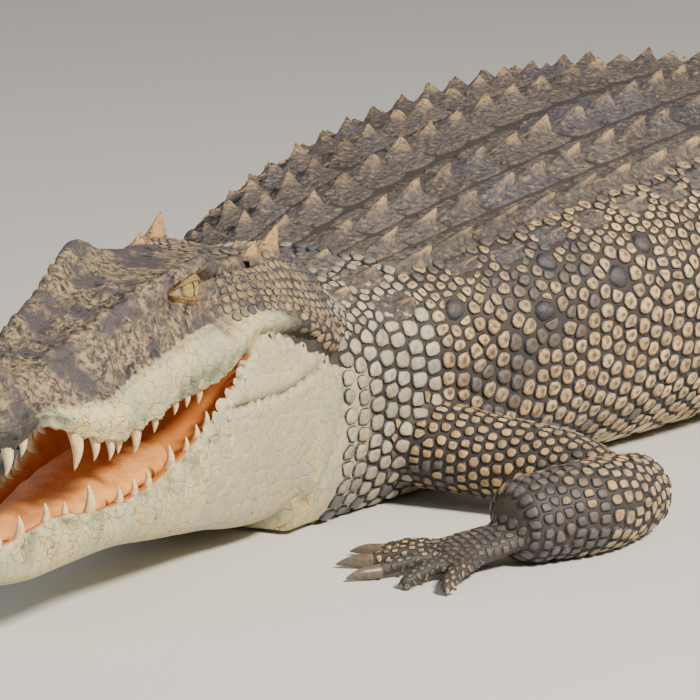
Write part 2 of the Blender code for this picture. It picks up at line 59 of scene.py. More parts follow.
# %% [markdown]
# ## Driving sizes
# A crocodile is described well by a few lengths: jaw joint to snout, jaw joint to vent, and vent to
# tail tip. Everything behind the head is placed by its distance from the jaw joint along the spine,
# so a bend in the tail costs nothing. The coat is the depth that scales take up over the skin.

# %% Driving sizes in metres
HEAD, BODY, TAIL = 0.70, 1.62, 2.30
JAW_JOINT = Vector((0.0, -1.5949, 0.210))
HEAD_YAW, HEAD_ROLL = math.radians(7.0), math.radians(1.5)
SKULL_PITCH, JAW_PITCH = math.radians(2.7), math.radians(-5.4)
COAT = 0.006
HEAD_COAT = 0.002
rng = np.random.default_rng(7)

# %% [markdown]
# ## Outlines
# Each outline is a short list of (place, size) pairs, the way a taxidermist notes girths along a
# form. A smooth curve through the pairs gives the size anywhere between them. Head sizes are in
# parts of the head's length, and body sizes are in metres.

# %% Outlines of skull and lower jaw
LIP_HALF = ((-0.12, 0.195), (-0.03, 0.210), (0.08, 0.208), (0.20, 0.192), (0.33, 0.168), (0.47, 0.150),
            (0.58, 0.140), (0.68, 0.145), (0.76, 0.120), (0.83, 0.093), (0.90, 0.100), (0.96, 0.092))
LIP_LOW = ((-0.12, 0.0), (0.0, 0.0), (0.10, 0.041), (0.20, 0.067), (0.25, 0.048), (0.29, 0.022),
           (0.33, 0.006), (0.43, -0.004), (0.49, -0.024), (0.56, -0.034), (0.68, -0.037), (0.76, -0.015),
           (0.83, 0.007), (0.90, -0.012), (0.96, -0.012))
SIDE_HALF = ((-0.12, 0.160), (0.0, 0.176), (0.10, 0.168), (0.20, 0.150), (0.33, 0.122), (0.45, 0.120),
             (0.58, 0.112), (0.70, 0.112), (0.83, 0.082), (0.90, 0.084), (0.96, 0.076))
RIDGE_HALF = ((-0.12, 0.095), (0.0, 0.102), (0.06, 0.104), (0.20, 0.098), (0.33, 0.118), (0.42, 0.100),
              (0.52, 0.084), (0.68, 0.070), (0.80, 0.058), (0.90, 0.052), (0.96, 0.045))
RIDGE_TOP = ((-0.12, 0.150), (0.0, 0.178), (0.06, 0.182), (0.20, 0.188), (0.33, 0.202), (0.42, 0.188),
             (0.55, 0.152), (0.70, 0.104), (0.82, 0.088), (0.92, 0.100), (0.97, 0.085))
SKULL_TOP = ((-0.12, 0.155), (0.0, 0.175), (0.08, 0.182), (0.20, 0.180), (0.33, 0.176), (0.42, 0.166),
             (0.55, 0.142), (0.70, 0.110), (0.82, 0.094), (0.92, 0.110), (0.97, 0.095))
PALATE = ((-0.12, 0.0), (0.10, 0.041), (0.20, 0.067), (0.35, 0.050), (0.60, 0.020), (0.85, 0.022),
          (0.97, 0.010))
JAW_HALF = ((-0.14, 0.185), (-0.03, 0.208), (0.10, 0.204), (0.20, 0.186), (0.28, 0.168), (0.38, 0.152),
            (0.50, 0.136), (0.62, 0.122), (0.72, 0.114), (0.82, 0.100), (0.90, 0.082))
JAW_TOP = ((-0.14, -0.09), (-0.04, -0.03), (0.0, 0.0), (0.10, 0.055), (0.20, 0.095), (0.24, 0.066),
           (0.28, 0.032), (0.36, -0.012), (0.46, -0.046), (0.56, -0.058), (0.68, -0.046), (0.80, -0.020),
           (0.90, -0.030))
JAW_LOW = ((-0.14, -0.235), (0.0, -0.256), (0.15, -0.256), (0.28, -0.222), (0.45, -0.182),
           (0.60, -0.146), (0.75, -0.128), (0.90, -0.118))
JAW_FLOOR = ((-0.14, -0.09), (-0.04, -0.03), (0.0, 0.0), (0.10, 0.055), (0.20, 0.085), (0.26, -0.01),
             (0.35, -0.055), (0.50, -0.084), (0.75, -0.074), (0.90, -0.060))
# sections of the body are a little fuller than ellipses
ROUNDNESS = 0.82

# %% Outlines of neck, trunk and tail
BODY_HALF = ((-0.06, 0.152), (0.02, 0.156), (0.10, 0.174), (0.24, 0.226), (0.38, 0.280), (0.60, 0.345),
             (0.90, 0.385), (1.15, 0.375), (1.40, 0.310), (1.62, 0.220), (1.90, 0.165), (2.40, 0.128),
             (2.90, 0.090), (3.40, 0.052), (3.80, 0.020), (3.92, 0.008))
BODY_TOP = ((-0.06, 0.300), (0.05, 0.290), (0.20, 0.302), (0.40, 0.330), (0.65, 0.362), (0.95, 0.386),
            (1.25, 0.385), (1.62, 0.328), (1.90, 0.298), (2.40, 0.255), (2.90, 0.200), (3.40, 0.132),
            (3.80, 0.062), (3.92, 0.030))
BODY_WIDE = ((-0.06, 0.150), (0.10, 0.150), (0.40, 0.185), (0.90, 0.200), (1.40, 0.175), (1.90, 0.140),
             (2.90, 0.090), (3.92, 0.014))
BODY_LOW = ((-0.06, -0.022), (0.06, -0.032), (0.24, -0.030), (0.90, -0.032), (1.62, -0.028), (2.40, -0.020),
            (3.40, -0.012), (3.92, -0.004))
TURN = ((-0.2, HEAD_YAW), (0.0, HEAD_YAW), (0.40, 0.0), (1.62, 0.0), (2.10, math.radians(-7.0)),
        (2.70, math.radians(-12.0)), (3.30, math.radians(6.0)), (3.92, math.radians(24.0)))

# %% Smooth size between the pairs
def along(table, place):
    """Sizes at places, on the smooth curve through the pairs of a table."""
    places, sizes = np.array(table).T
    slopes = np.gradient(sizes, places)
    place = np.clip(place, places[0], places[-1])
    i = np.clip(np.searchsorted(places, place) - 1, 0, len(places) - 2)
    span = places[i + 1] - places[i]
    f = (place - places[i]) / span
    start = (2 * f**3 - 3 * f**2 + 1) * sizes[i] + (f**3 - 2 * f**2 + f) * span * slopes[i]
    return start + (3 * f**2 - 2 * f**3) * sizes[i + 1] + (f**3 - f**2) * span * slopes[i + 1]


print("widest trunk:", round(2 * float(along(BODY_HALF, 0.95)), 3), "m")

# %% [markdown]
# ## The body's own coordinates
# The spine is a plan curve. A point of the body is then a place along the spine and an angle round
# it, from the back's midline down one side to the belly. Both scales and plates use these.

# %% Spine and cross-section
SPINE_STEP = 0.01
SPINE_PLACES = np.arange(-0.20, BODY + TAIL + 0.02, SPINE_STEP)
SPINE_TURNS = along(TURN, SPINE_PLACES)
moves = np.stack((-np.sin(SPINE_TURNS), np.cos(SPINE_TURNS)), axis=1) * SPINE_STEP
SPINE_TRACK = np.cumsum(moves, axis=0) - moves
SPINE_TRACK = SPINE_TRACK - SPINE_TRACK[int(round(0.20 / SPINE_STEP))]


def to_world(place, x, z):
    """World points from a place on the spine, a distance to the left and a height."""
    turn = along(TURN, place)
    wx = np.interp(place, SPINE_PLACES, SPINE_TRACK[:, 0]) + JAW_JOINT.x + x * np.cos(turn)
    wy = np.interp(place, SPINE_PLACES, SPINE_TRACK[:, 1]) + JAW_JOINT.y + x * np.sin(turn)
    return np.stack((wx, wy, z + 0.0 * wx), axis=-1)


def section(place, angle, inset=0.0):
    """Outline of the body, drawn in by the inset and resting on the floor."""
    half, top = along(BODY_HALF, place) - inset, along(BODY_TOP, place) - inset
    wide, low = along(BODY_WIDE, place), along(BODY_LOW, place)
    side, up = np.sin(angle), np.cos(angle)
    x = np.maximum(half, 0.002) * np.sign(side) * np.abs(side) ** ROUNDNESS
    above = wide + (top - wide) * np.abs(up) ** ROUNDNESS
    below = wide - (wide - low) * np.abs(up) ** 0.62
    return x, np.maximum(np.where(up > 0, above, below), 0.8 * inset)


def body_surface(place, angle, inset=0.0):
    return to_world(place, *section(place, angle, inset))


print("tail tip lies at", np.round(body_surface(3.9, 0.0), 3))

# %% [markdown]
# ## The head's own coordinates
# Skull and lower jaw swing about one hinge line, so each has its own frame: forward, left and up
# from the hinge. A half outline of ten points, from the midline above to the midline below, gives
# the section at any distance forward, and a smooth closed curve runs through both halves.

# %% Frames and sections of skull and jaw
def head_frame(pitch):
    """Matrix from (forward, left, up) to the world, for a half of the head at its pitch."""
    ahead = Vector((math.sin(HEAD_YAW) * math.cos(pitch), -math.cos(HEAD_YAW) * math.cos(pitch),
                    math.sin(pitch)))
    level = Vector((math.cos(HEAD_YAW), math.sin(HEAD_YAW), 0.0))
    left = level * math.cos(HEAD_ROLL) - ahead.cross(level) * math.sin(HEAD_ROLL)
    matrix = Matrix((ahead, left, ahead.cross(left))).transposed().to_4x4()
    matrix.translation = JAW_JOINT
    return matrix


SKULL, JAW = head_frame(SKULL_PITCH), head_frame(JAW_PITCH)


def bump(distance, width):
    """1 at no distance, falling off over the width."""
    return np.exp(-(distance / width) ** 2)


def skull_profile(f):
    lip, low = along(LIP_HALF, f), along(LIP_LOW, f)
    ridge, high = along(RIDGE_HALF, f), along(RIDGE_TOP, f)
    top, roof = along(SKULL_TOP, f), along(PALATE, f)
    corner = high + 0.010 * bump(f - 0.34, 0.05) + 0.012 * bump(f - 0.055, 0.03)
    return [(0.0, top), (ridge * 0.60, top + 0.3 * (high - top)), (ridge, corner),
            (along(SIDE_HALF, f), low + 0.62 * (high - low)), (lip, low + 0.30 * (high - low)),
            (lip * 0.985, low + 0.03), (lip - 0.012, low), (lip - 0.040, max(low, roof - 0.01)),
            (lip * 0.4, roof), (0.0, roof)]


def jaw_profile(f):
    half, top = along(JAW_HALF, f), along(JAW_TOP, f)
    low, floor = along(JAW_LOW, f), along(JAW_FLOOR, f)
    return [(0.0, floor), (half * 0.55, floor), (half - 0.036, floor + 0.7 * (top - floor)),
            (half - 0.018, top), (half - 0.004, top - 0.006), (half, top - 0.25 * (top - low)),
            (half * 0.97, top - 0.55 * (top - low)), (half * 0.80, low + 0.10 * (top - low)),
            (half * 0.5, low), (0.0, low)]


def spline(p0, p1, p2, p3, f):
    """Smooth curve from p1 to p2, with p0 before them and p3 after."""
    return p1 + 0.5 * ((p2 - p0) * f + (2 * p0 - 5 * p1 + 4 * p2 - p3) * f**2
                       + (3 * p1 - p0 - 3 * p2 + p3) * f**3)


def closed_curve(half, steps):
    """Closed smooth curve through a half outline and its mirror image, and the step's own number."""
    knots = np.array(half + [(-x, z) for x, z in reversed(half[1:-1])])
    count = len(knots)
    t = np.arange(count * steps) / steps
    i, f = t.astype(int), (t % 1.0)[:, None]
    return spline(*(knots[(i + k) % count] for k in (-1, 0, 1, 2)), f), np.minimum(t, count - t)


def unit(vectors):
    """The vectors at length 1."""
    return vectors / np.maximum(np.linalg.norm(vectors, axis=-1, keepdims=True), 1e-9)


def drawn_in(curve, inset):
    """The curve moved inwards by the inset."""
    along_it = np.roll(curve, -1, axis=0) - np.roll(curve, 1, axis=0)
    inward = unit(np.stack((-along_it[:, 1], along_it[:, 0]), axis=1))
    area = np.sum(curve[:, 0] * np.roll(curve[:, 1], -1) - np.roll(curve[:, 0], -1) * curve[:, 1])
    return curve + inward * inset * (1.0 if area > 0 else -1.0)


def placer(matrix, reach, start, middle, least):
    """Function from (forward, left, up) to the world. Past the start it draws in to a round tip."""
    def place(f, x, z):
        past = max(0.0, f / reach - start) / (1.0 - start)
        shrink = math.sqrt(max(0.0, 1.0 - past**2))
        z = middle + (z - middle) * (least + (1.0 - least) * shrink)
        return matrix @ Vector((f * HEAD, x * shrink * HEAD, z * HEAD))
    return place


skull_place = placer(SKULL, 1.0, 0.90, 0.035, 0.25)
jaw_place = placer(JAW, 0.945, 0.86, -0.075, 0.35)
print("snout tip at", [round(value, 3) for value in skull_place(0.996, 0.0, 0.04)])

# %% [markdown]
# ## One skin over the flesh
# The hide of a crocodile has no seam. Lofted tubes for the body, the two halves of the head, the
# legs and the toes are laid into each other, and a voxel remesh melts them into one closed sheet.
# It lies a coat's depth inside the solids, because scales are added over it. On the head, where
# scales are few and low, it lies nearer to them.

# %% Lofts through rings
def loft_mesh(rings):
    """Vertices and faces of a closed shape through rings of equal point counts."""
    rings = np.asarray(rings, dtype=float)
    count, size = rings.shape[:2]
    vertices = rings.reshape(-1, 3)
    ring, step = np.meshgrid(np.arange(count - 1), np.arange(size), indexing="ij")
    a, b = ring * size + step, ring * size + (step + 1) % size
    faces = np.stack((a, b, b + size, a + size), axis=-1).reshape(-1, 4).tolist()
    faces.append(list(range(size))[::-1])
    faces.append(list(range((count - 1) * size, count * size)))
    return vertices, faces


def joined(shapes):
    """Several shapes as one list of vertices and one of faces."""
    vertices, faces, start = [], [], 0
    for places, loops in shapes:
        vertices.append(places)
        faces.extend([[corner + start for corner in loop] for loop in loops])
        start += len(places)
    return np.vstack(vertices), faces


def closed_mesh(name, vertices, faces):
    """Mesh with all its faces turned outwards."""
    mesh = bpy.data.meshes.new(name)
    mesh.from_pydata([tuple(point) for point in vertices], [], faces)
    shape = bmesh.new()
    shape.from_mesh(mesh)
    bmesh.ops.recalc_face_normals(shape, faces=shape.faces)
    shape.to_mesh(mesh)
    shape.free()
    return mesh


def placed(name, data):
    """A new object in the scene."""
    thing = bpy.data.objects.new(name, data)
    bpy.context.scene.collection.objects.link(thing)
    return thing


def new_piece(name, vertices, faces):
    return placed(name, closed_mesh(name, vertices, faces))


def body_loft():
    places = np.concatenate((np.arange(-0.03, 3.80, 0.02), np.arange(3.80, 3.918, 0.012)))
    angles = np.linspace(-math.pi, math.pi, 97)[:-1]
    return loft_mesh([body_surface(place, angles, COAT * min(1.0, (3.95 - place) * 1.6))
                      for place in places])


def head_loft(first, last, profile, place):
    tip = last - 0.06 * (1 - np.linspace(0, 1, 14)) ** 2
    stations = np.concatenate((np.arange(first, last - 0.06, 0.008), tip))
    rings = []
    for f in stations:
        curve, _ = closed_curve(profile(f), 7)
        rings.append([place(f, x, z) for x, z in drawn_in(curve, HEAD_COAT / HEAD)])
    return loft_mesh(rings)


# %% [markdown]
# The legs are tubes along a few points with a radius at each: upper arm and forearm, thigh and
# shank. The feet are a flat palm with round toes that rest on the floor.

# %% Legs and feet
UPPER_ARM = ((0.10, 0.20, 0.085, 0.060), (0.25, 0.220, 0.066, 0.053), (0.35, 0.226, 0.057, 0.050),
             (0.430, 0.208, 0.050, 0.036))
FOREARM = ((0.450, 0.208, 0.048, 0.050), (0.446, 0.108, 0.052, 0.057), (0.406, 0.016, 0.050, 0.053))
THIGH = ((0.08, 1.50, 0.170, 0.110), (0.25, 1.42, 0.150, 0.098), (0.36, 1.36, 0.115, 0.076),
         (0.42, 1.33, 0.080, 0.062))
SHANK = ((0.435, 1.335, 0.070, 0.060), (0.455, 1.44, 0.060, 0.054), (0.435, 1.54, 0.046, 0.042))
HAND = {"wrist": (0.398, 0.006, 0.034, 0.036), "heading": 35.0, "palm": 0.085, "half": 0.044,
        "toes": ((78.0, 0.080), (56.0, 0.098), (36.0, 0.105), (14.0, 0.100), (-10.0, 0.088))}
FOOT = {"wrist": (0.435, 1.55, 0.038, 0.040), "heading": -52.0, "palm": 0.150, "half": 0.056,
        "toes": ((-26.0, 0.120), (-43.0, 0.140), (-60.0, 0.140), (-79.0, 0.120))}
TOE, CLAW, CLAWED = 0.0135, 0.034, 3
LIMBS = (UPPER_ARM, FOREARM, THIGH, SHANK)
DOME = (0.3, 0.6, 0.9, 1.2, 1.45)


def smooth_path(points, steps):
    """Smooth curve through (x, y, z, radius) points, with so many steps between two of them."""
    knots = np.array(points, dtype=float)
    knots = np.vstack((2 * knots[0] - knots[1], knots, 2 * knots[-1] - knots[-2]))
    t = np.arange((len(knots) - 3) * steps + 1) / steps
    i = np.minimum(t.astype(int), len(knots) - 4)
    return spline(*(knots[i + k] for k in range(4)), (t - i)[:, None])


def rounded(path, reach):
    """The path with both ends carried on and drawn in, so that its tube ends in domes."""
    parts = []
    for end, near in ((path[0], path[1]), (path[-1], path[-2])):
        ahead = (end - near) / np.linalg.norm((end - near)[:3])
        dome = [end + ahead * end[3] * reach * math.sin(a) for a in DOME]
        for point, a in zip(dome, DOME):
            point[3] = end[3] * math.cos(a)
        parts.append(np.array(dome))
    return np.vstack((parts[0][::-1], path, parts[1]))


def lengths_along(points):
    """Distance of each point from the first, measured along the points."""
    return np.r_[0.0, np.cumsum(np.linalg.norm(np.diff(points, axis=0), axis=1))]


def full_turn(count):
    return 2.0 * math.pi * np.arange(count) / count


def tube_frames(path):
    """Directions ahead, to the side and up at each point of a path."""
    ahead = unit(np.gradient(path[:, :3], axis=0))
    side = unit(np.cross(ahead, (0.0, 0.0, 1.0)))
    return ahead, side, np.cross(side, ahead)


def tube(path, sides=24, flat=1.0, inset=0.0):
    _, side, up = tube_frames(path)
    angles = full_turn(sides)
    radius = np.maximum(path[:, 3:4] - inset, 0.001)[:, :, None]
    rings = path[:, None, :3] + radius * (side[:, None] * np.cos(angles)[None, :, None]
                                          + flat * up[:, None] * np.sin(angles)[None, :, None])
    rings[:, :, 2] = np.maximum(rings[:, :, 2], 0.5 * inset + 0.0006)
    return loft_mesh(rings)


def on_side(point, side):
    return (JAW_JOINT.x + side * point[0], JAW_JOINT.y + point[1], *point[2:])


def limb_path(points, side, steps=8, reach=0.6):
    return rounded(smooth_path([on_side(point, side) for point in points], steps), reach)


def foot_paths(size, side):
    """The palm's path, then the paths of the toes and of the claws on them."""
    wrist = np.array(on_side(size["wrist"], side)[:3])
    heading = math.radians(size["heading"])
    ahead = np.array((-side * math.sin(heading), -math.cos(heading), 0.0))
    across = np.array((-side * math.cos(heading), math.sin(heading), 0.0))
    knuckle = wrist + ahead * size["palm"]
    knuckle[2] = 0.017
    start, half = size["wrist"][3], size["half"]
    palm = rounded(smooth_path([(*wrist, start), (*((wrist + knuckle) * 0.5), (start + half) * 0.5),
                                (*knuckle, half)], 6), 0.45)
    toes, claws = [], []
    last = len(size["toes"]) - 1
    for i, (turn, length) in enumerate(size["toes"]):
        base = knuckle + across * half * (0.78 - 1.56 * i / last) - ahead * 0.012
        turn = math.radians(turn)
        point = np.array((-side * math.sin(turn), -math.cos(turn), 0.0))
        tip = base + point * length
        tip[2] = TOE * 0.62
        middle = (base + tip) * 0.5
        middle[2] += TOE * 0.35
        bones = [(*base, TOE), (*middle, TOE * 0.92), (*tip, TOE * 0.70)]
        toes.append(rounded(smooth_path(bones, 8), 0.5))
        if i < CLAWED:
            arch = [tip - point * 0.008]
            for f in (0.0, 0.4, 0.75, 1.0):
                arch.append(tip + point * CLAW * f + np.array((0, 0, CLAW * (0.10 * f - 0.20 * f * f))))
            claws.append(smooth_path([(*spot, TOE * share) for spot, share in
                                      zip(arch, (0.62, 0.58, 0.46, 0.26, 0.06))], 5))
    return palm, toes, claws


def limb_shapes():
    shapes = []
    for side in (1, -1):
        for points in LIMBS:
            shapes.append(tube(limb_path(points, side), inset=0.004))
        for size in (HAND, FOOT):
            palm, toes, _ = foot_paths(size, side)
            shapes.append(tube(palm, flat=0.45, inset=0.002))
            shapes += [tube(toe, sides=12, flat=0.9, inset=0.0012) for toe in toes]
    return shapes


# %% Melt the parts into one sheet
VOXEL = 0.0049


def applied(mesh, kind, members=(), **values):
    """The mesh after one modifier. The members are the points of its vertex group, if it has one."""
    thing = placed("step", mesh)
    if members:
        thing.vertex_groups.new(name=values["vertex_group"]).add(members, 1.0, "REPLACE")
    step = thing.modifiers.new("step", kind)
    for key, value in values.items():
        setattr(step, key, value)
    made = bpy.data.meshes.new_from_object(thing.evaluated_get(bpy.context.evaluated_depsgraph_get()))
    bpy.data.objects.remove(thing, do_unlink=True)
    return made


shapes = [body_loft(), head_loft(-0.11, 0.996, skull_profile, skull_place),
          head_loft(-0.12, 0.944, jaw_profile, jaw_place), *limb_shapes()]
skin_mesh = applied(closed_mesh("rough", *joined(shapes)), "REMESH", mode="VOXEL", voxel_size=VOXEL,
                    adaptivity=0.0)
print("sheet:", len(skin_mesh.vertices), "vertices,", len(skin_mesh.polygons), "faces")

# %% [markdown]
# The remesh leaves small steps, which a few rounds of smoothing remove. The head keeps all its faces
# for lids, folds and lips. Under the body's scales the sheet hardly shows, so it is thinned there.

# %% Smooth the sheet and thin it under the body's scales
def vectors_of(rows, name):
    """Vectors of a mesh's points, normals or the like as an array."""
    found = np.empty(len(rows) * 3, np.float32)
    rows.foreach_get(name, found)
    return found.reshape(-1, 3).astype(float)


def head_parts(points):
    """Coordinates in the skull's and in the jaw's frame, in parts of the head's length."""
    full = np.c_[points, np.ones(len(points))]
    return [np.einsum("ij,nj->ni", np.array(matrix.inverted())[:3], full) / HEAD for matrix in (SKULL, JAW)]


skin_mesh = applied(skin_mesh, "SMOOTH", factor=0.5, iterations=5)
places = vectors_of(skin_mesh.vertices, "co")
in_head = head_parts(places)[0]
HEAD_ZONE, HIDDEN_FACES = 0.27, 36000
fine = (in_head[:, 0] > -0.06) & (np.abs(in_head[:, 1]) < HEAD_ZONE) & (places[:, 2] > 0.012)
kept_share = (2.02 * fine.sum() + HIDDEN_FACES) / (2.0 * len(places))
skin_mesh = applied(skin_mesh, "DECIMATE", np.flatnonzero(~fine).tolist(), ratio=kept_share,
                    vertex_group="thin", vertex_group_factor=1000.0, use_collapse_triangulate=True)
print("thinned sheet:", len(skin_mesh.vertices), "vertices,", len(skin_mesh.polygons), "triangles")

# %% [markdown]
# ## Finer faces where they count
# Lids and lip margins need a finer sheet than the crown. Only their faces are split, once along
# the lips and twice at the eyes, so the rest stays light.

# %% Split faces round the eyes and along the lips
EYES = {}
for side, name in ((1, "left"), (-1, "right")):
    low, high = (np.array(corner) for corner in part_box(f"eye_{name}"))
    ahead, left, up = (np.array(SKULL.to_3x3().col[i]) for i in range(3))
    out = left * side * 0.90 + ahead * 0.34 + up * 0.20
    out = unit(out)
    fore = unit(ahead - out * np.dot(ahead, out))
    upward = np.cross(out, fore) * (1.0 if np.dot(np.cross(out, fore), up) > 0 else -1.0)
    EYES[name] = {"centre": (low + high) / 2, "radius": float((high - low).mean() / 2),
                  "out": out, "fore": fore, "up": upward}


def split_faces(mesh, chosen):
    """Split the faces whose middles are chosen, once."""
    shape = bmesh.new()
    shape.from_mesh(mesh)
    middles = np.array([face.calc_center_median() for face in shape.faces])
    picked = set(np.flatnonzero(chosen(middles)).tolist())
    edges = {edge for i, face in enumerate(shape.faces) if i in picked for edge in face.edges}
    bmesh.ops.subdivide_edges(shape, edges=list(edges), cuts=1, use_grid_fill=False)
    bmesh.ops.triangulate(shape, faces=[face for face in shape.faces if len(face.verts) > 3])
    shape.to_mesh(mesh)
    shape.free()
    mesh.update()


def near_lips(middles):
    skull, jaw = head_parts(middles)
    rim = along(LIP_LOW, skull[:, 0])
    top = along(JAW_TOP, jaw[:, 0])
    wide = np.abs(skull[:, 1]) > along(LIP_HALF, skull[:, 0]) - 0.035
    upper = wide & (np.abs(skull[:, 2] - rim - 0.015) < 0.035)
    lower = wide & (np.abs(jaw[:, 2] - top + 0.025) < 0.042)
    return (upper | lower) & (skull[:, 0] > 0.24) & (skull[:, 0] < 0.97)


def near_eyes(middles, reach):
    return np.min([np.linalg.norm(middles - eye["centre"], axis=1) for eye in EYES.values()], axis=0) < reach


split_faces(skin_mesh, near_lips)
split_faces(skin_mesh, lambda middles: near_eyes(middles, 0.052))
split_faces(skin_mesh, lambda middles: near_eyes(middles, 0.034))
print("sheet with fine lips and lids:", len(skin_mesh.polygons), "triangles")

# %% [markdown]
# ## Where each point of the head sheet belongs
# To shape and colour the head we must know, for each point, whether it is on the skull or the jaw,
# how far forward it is, and where it lies round the section. The nearest point of a dense set of
# section curves tells all three. The step number runs 0 to 9 from the midline above to the one below.

# %% Nearest section step for each head point
# columns of a station row, after the point itself
FORWARD, STEP, LEFT = 3, 4, 5


def search_tree(rows):
    """A tree that finds the nearest of the points that the rows begin with."""
    tree = KDTree(len(rows))
    for i, row in enumerate(rows):
        tree.insert(row[:3], i)
    tree.balance()
    return tree


def station_points(first, last, profile, place):
    rows = []
    for f in np.arange(first, last, 0.006):
        curve, steps = closed_curve(profile(f), 5)
        rows += [(*place(f, x, z), f, step) for (x, z), step in zip(curve, steps)]
    return np.array(rows)


skull_rows = station_points(-0.10, 0.997, skull_profile, skull_place)
jaw_rows = station_points(-0.12, 0.944, jaw_profile, jaw_place)
station_rows = np.vstack((skull_rows, jaw_rows))
station_tree = search_tree(station_rows)


def head_steps(points):
    """Part (1 skull, 2 jaw), forward place and section step of the nearest station point."""
    found = np.array([station_tree.find(point)[1] for point in points])
    return np.where(found < len(skull_rows), 1, 2), *station_rows[found][:, (FORWARD, STEP)].T


skin = vectors_of(skin_mesh.vertices, "co")
skull_at, jaw_at = head_parts(skin)
is_head = (skull_at[:, 0] > -0.13) & (np.abs(skull_at[:, 1]) < HEAD_ZONE)
head_ids = np.flatnonzero(is_head)
part = np.zeros(len(skin), int)
forward, step = np.full(len(skin), -1.0), np.full(len(skin), 4.0)
part[head_ids], forward[head_ids], step[head_ids] = head_steps(skin[head_ids])
print("head points:", len(head_ids))

# %% [markdown]
# ## Shape the head
# The bony head of this species has two ridges that run from the eyes down the snout, a raised pad
# with the nostrils, heavy brows, a slit ear flap behind each eye, and folds behind the mouth. Each
# is a soft mound or groove along a short line, added along the sheet's normal.

# %% Mounds and grooves
def line_distance(at, line, widths):
    """Distance to a line of (forward, left, up) points, measured in widths."""
    best = np.full(len(at), 9.0)
    at = np.c_[at[:, 0], np.abs(at[:, 1]), at[:, 2]] / widths
    knots = np.array(line, dtype=float) / widths
    for a, b in zip(knots, knots[1:]):
        f = np.clip(((at - a) @ (b - a)) / max(np.dot(b - a, b - a), 1e-9), 0.0, 1.0)
        best = np.minimum(best, np.linalg.norm(at - a - f[:, None] * (b - a), axis=1))
    return best


# (line in the skull's frame, widths, height in metres): grooves have a negative height
SKULL_LINES = [
    ([(0.300, 0.116, 0.205), (0.345, 0.124, 0.208), (0.385, 0.112, 0.200)], (0.030, 0.022, 0.020), 0.0075),
    ([(0.42, 0.090, 0.186), (0.52, 0.072, 0.158), (0.62, 0.058, 0.128), (0.70, 0.050, 0.110)],
     (0.03, 0.020, 0.03), 0.0060),
    ([(0.43, 0.030, 0.170), (0.60, 0.018, 0.130)], (0.04, 0.026, 0.05), -0.0035),
    ([(0.41, 0.118, 0.150), (0.44, 0.112, 0.135)], (0.030, 0.02, 0.022), -0.0050),
    ([(0.88, 0.012, 0.105), (0.935, 0.018, 0.100)], (0.035, 0.035, 0.035), 0.0060),
    ([(0.905, 0.024, 0.112), (0.925, 0.034, 0.108)], (0.008, 0.008, 0.03), -0.0070),
    ([(0.300, 0.122, 0.172), (0.22, 0.112, 0.176), (0.13, 0.110, 0.174)], (0.02, 0.02, 0.0055), -0.0060),
    ([(0.300, 0.122, 0.184), (0.22, 0.112, 0.187), (0.12, 0.110, 0.184)], (0.02, 0.02, 0.0080), 0.0040),
    ([(0.20, 0.186, 0.072), (0.12, 0.196, 0.062), (0.055, 0.204, 0.048)], (0.02, 0.03, 0.0060), -0.0080),
    ([(0.20, 0.186, 0.090), (0.12, 0.190, 0.084), (0.03, 0.204, 0.072), (-0.02, 0.21, 0.03)],
     (0.02, 0.03, 0.012), 0.0045),
    ([(0.64, 0.142, 0.010), (0.70, 0.140, 0.010)], (0.05, 0.03, 0.04), 0.0040),
]
# wrinkles of the cheek, under and behind the eye
for k in range(8):
    upper_end = (0.315 - 0.023 * k, 0.126 + 0.003 * k, 0.128)
    lower_end = (0.290 - 0.026 * k, 0.150 + 0.004 * k, 0.078)
    SKULL_LINES.append(([upper_end, lower_end], (0.0085, 0.03, 0.02), -0.0045))
JAW_LINES = [
    ([(0.275, 0.175, 0.000), (0.15, 0.200, -0.010), (0.04, 0.212, 0.000), (-0.03, 0.212, 0.010)],
     (0.02, 0.04, 0.0055), -0.0060),
    ([(0.255, 0.178, 0.022), (0.15, 0.200, 0.014), (0.04, 0.210, 0.022)], (0.02, 0.04, 0.014), 0.0040),
    ([(-0.030, 0.21, 0.00), (-0.045, 0.20, -0.08), (0.00, 0.19, -0.16), (0.06, 0.16, -0.225)],
     (0.012, 0.03, 0.012), -0.0070),
]
lift, crease_shade = np.zeros(len(skin)), np.zeros(len(skin))
for lines, at, which in ((SKULL_LINES, skull_at, 1), (JAW_LINES, jaw_at, 2)):
    for line, widths, height in lines:
        mound = bump(line_distance(at, line, widths), 1.0) * ((part == which) | (height < -0.006))
        lift += height * mound
        # the grooves are kept as a mask, to be painted darker as shade in the creases
        crease_shade = np.maximum(crease_shade, mound**1.5 * (height < 0.0) * (forward < 0.36))

# %% [markdown]
# Every tooth pushes the lip out a little, so lip and gum are scalloped, and fine flutes run across
# both lips. The same tooth places serve here and for the teeth themselves.

# %% Lip scallops over the teeth
UPPER_TEETH = ((0.375, 0.012), (0.41, 0.013), (0.445, 0.014), (0.505, 0.014), (0.565, 0.024), (0.632, 0.012),
               (0.665, 0.017), (0.705, 0.021), (0.745, 0.038), (0.87, 0.018), (0.92, 0.024), (0.965, 0.014))
LOWER_TEETH = ((0.34, 0.010), (0.37, 0.011), (0.40, 0.012), (0.45, 0.024), (0.515, 0.014), (0.555, 0.014),
               (0.60, 0.016), (0.69, 0.032), (0.76, 0.012), (0.81, 0.016), (0.865, 0.018), (0.905, 0.022))


def scallops(forward, table, width):
    """1 over a tooth, 0 between teeth."""
    return np.max([bump(forward - f, width + 0.10 * size) for f, size in table], axis=0)


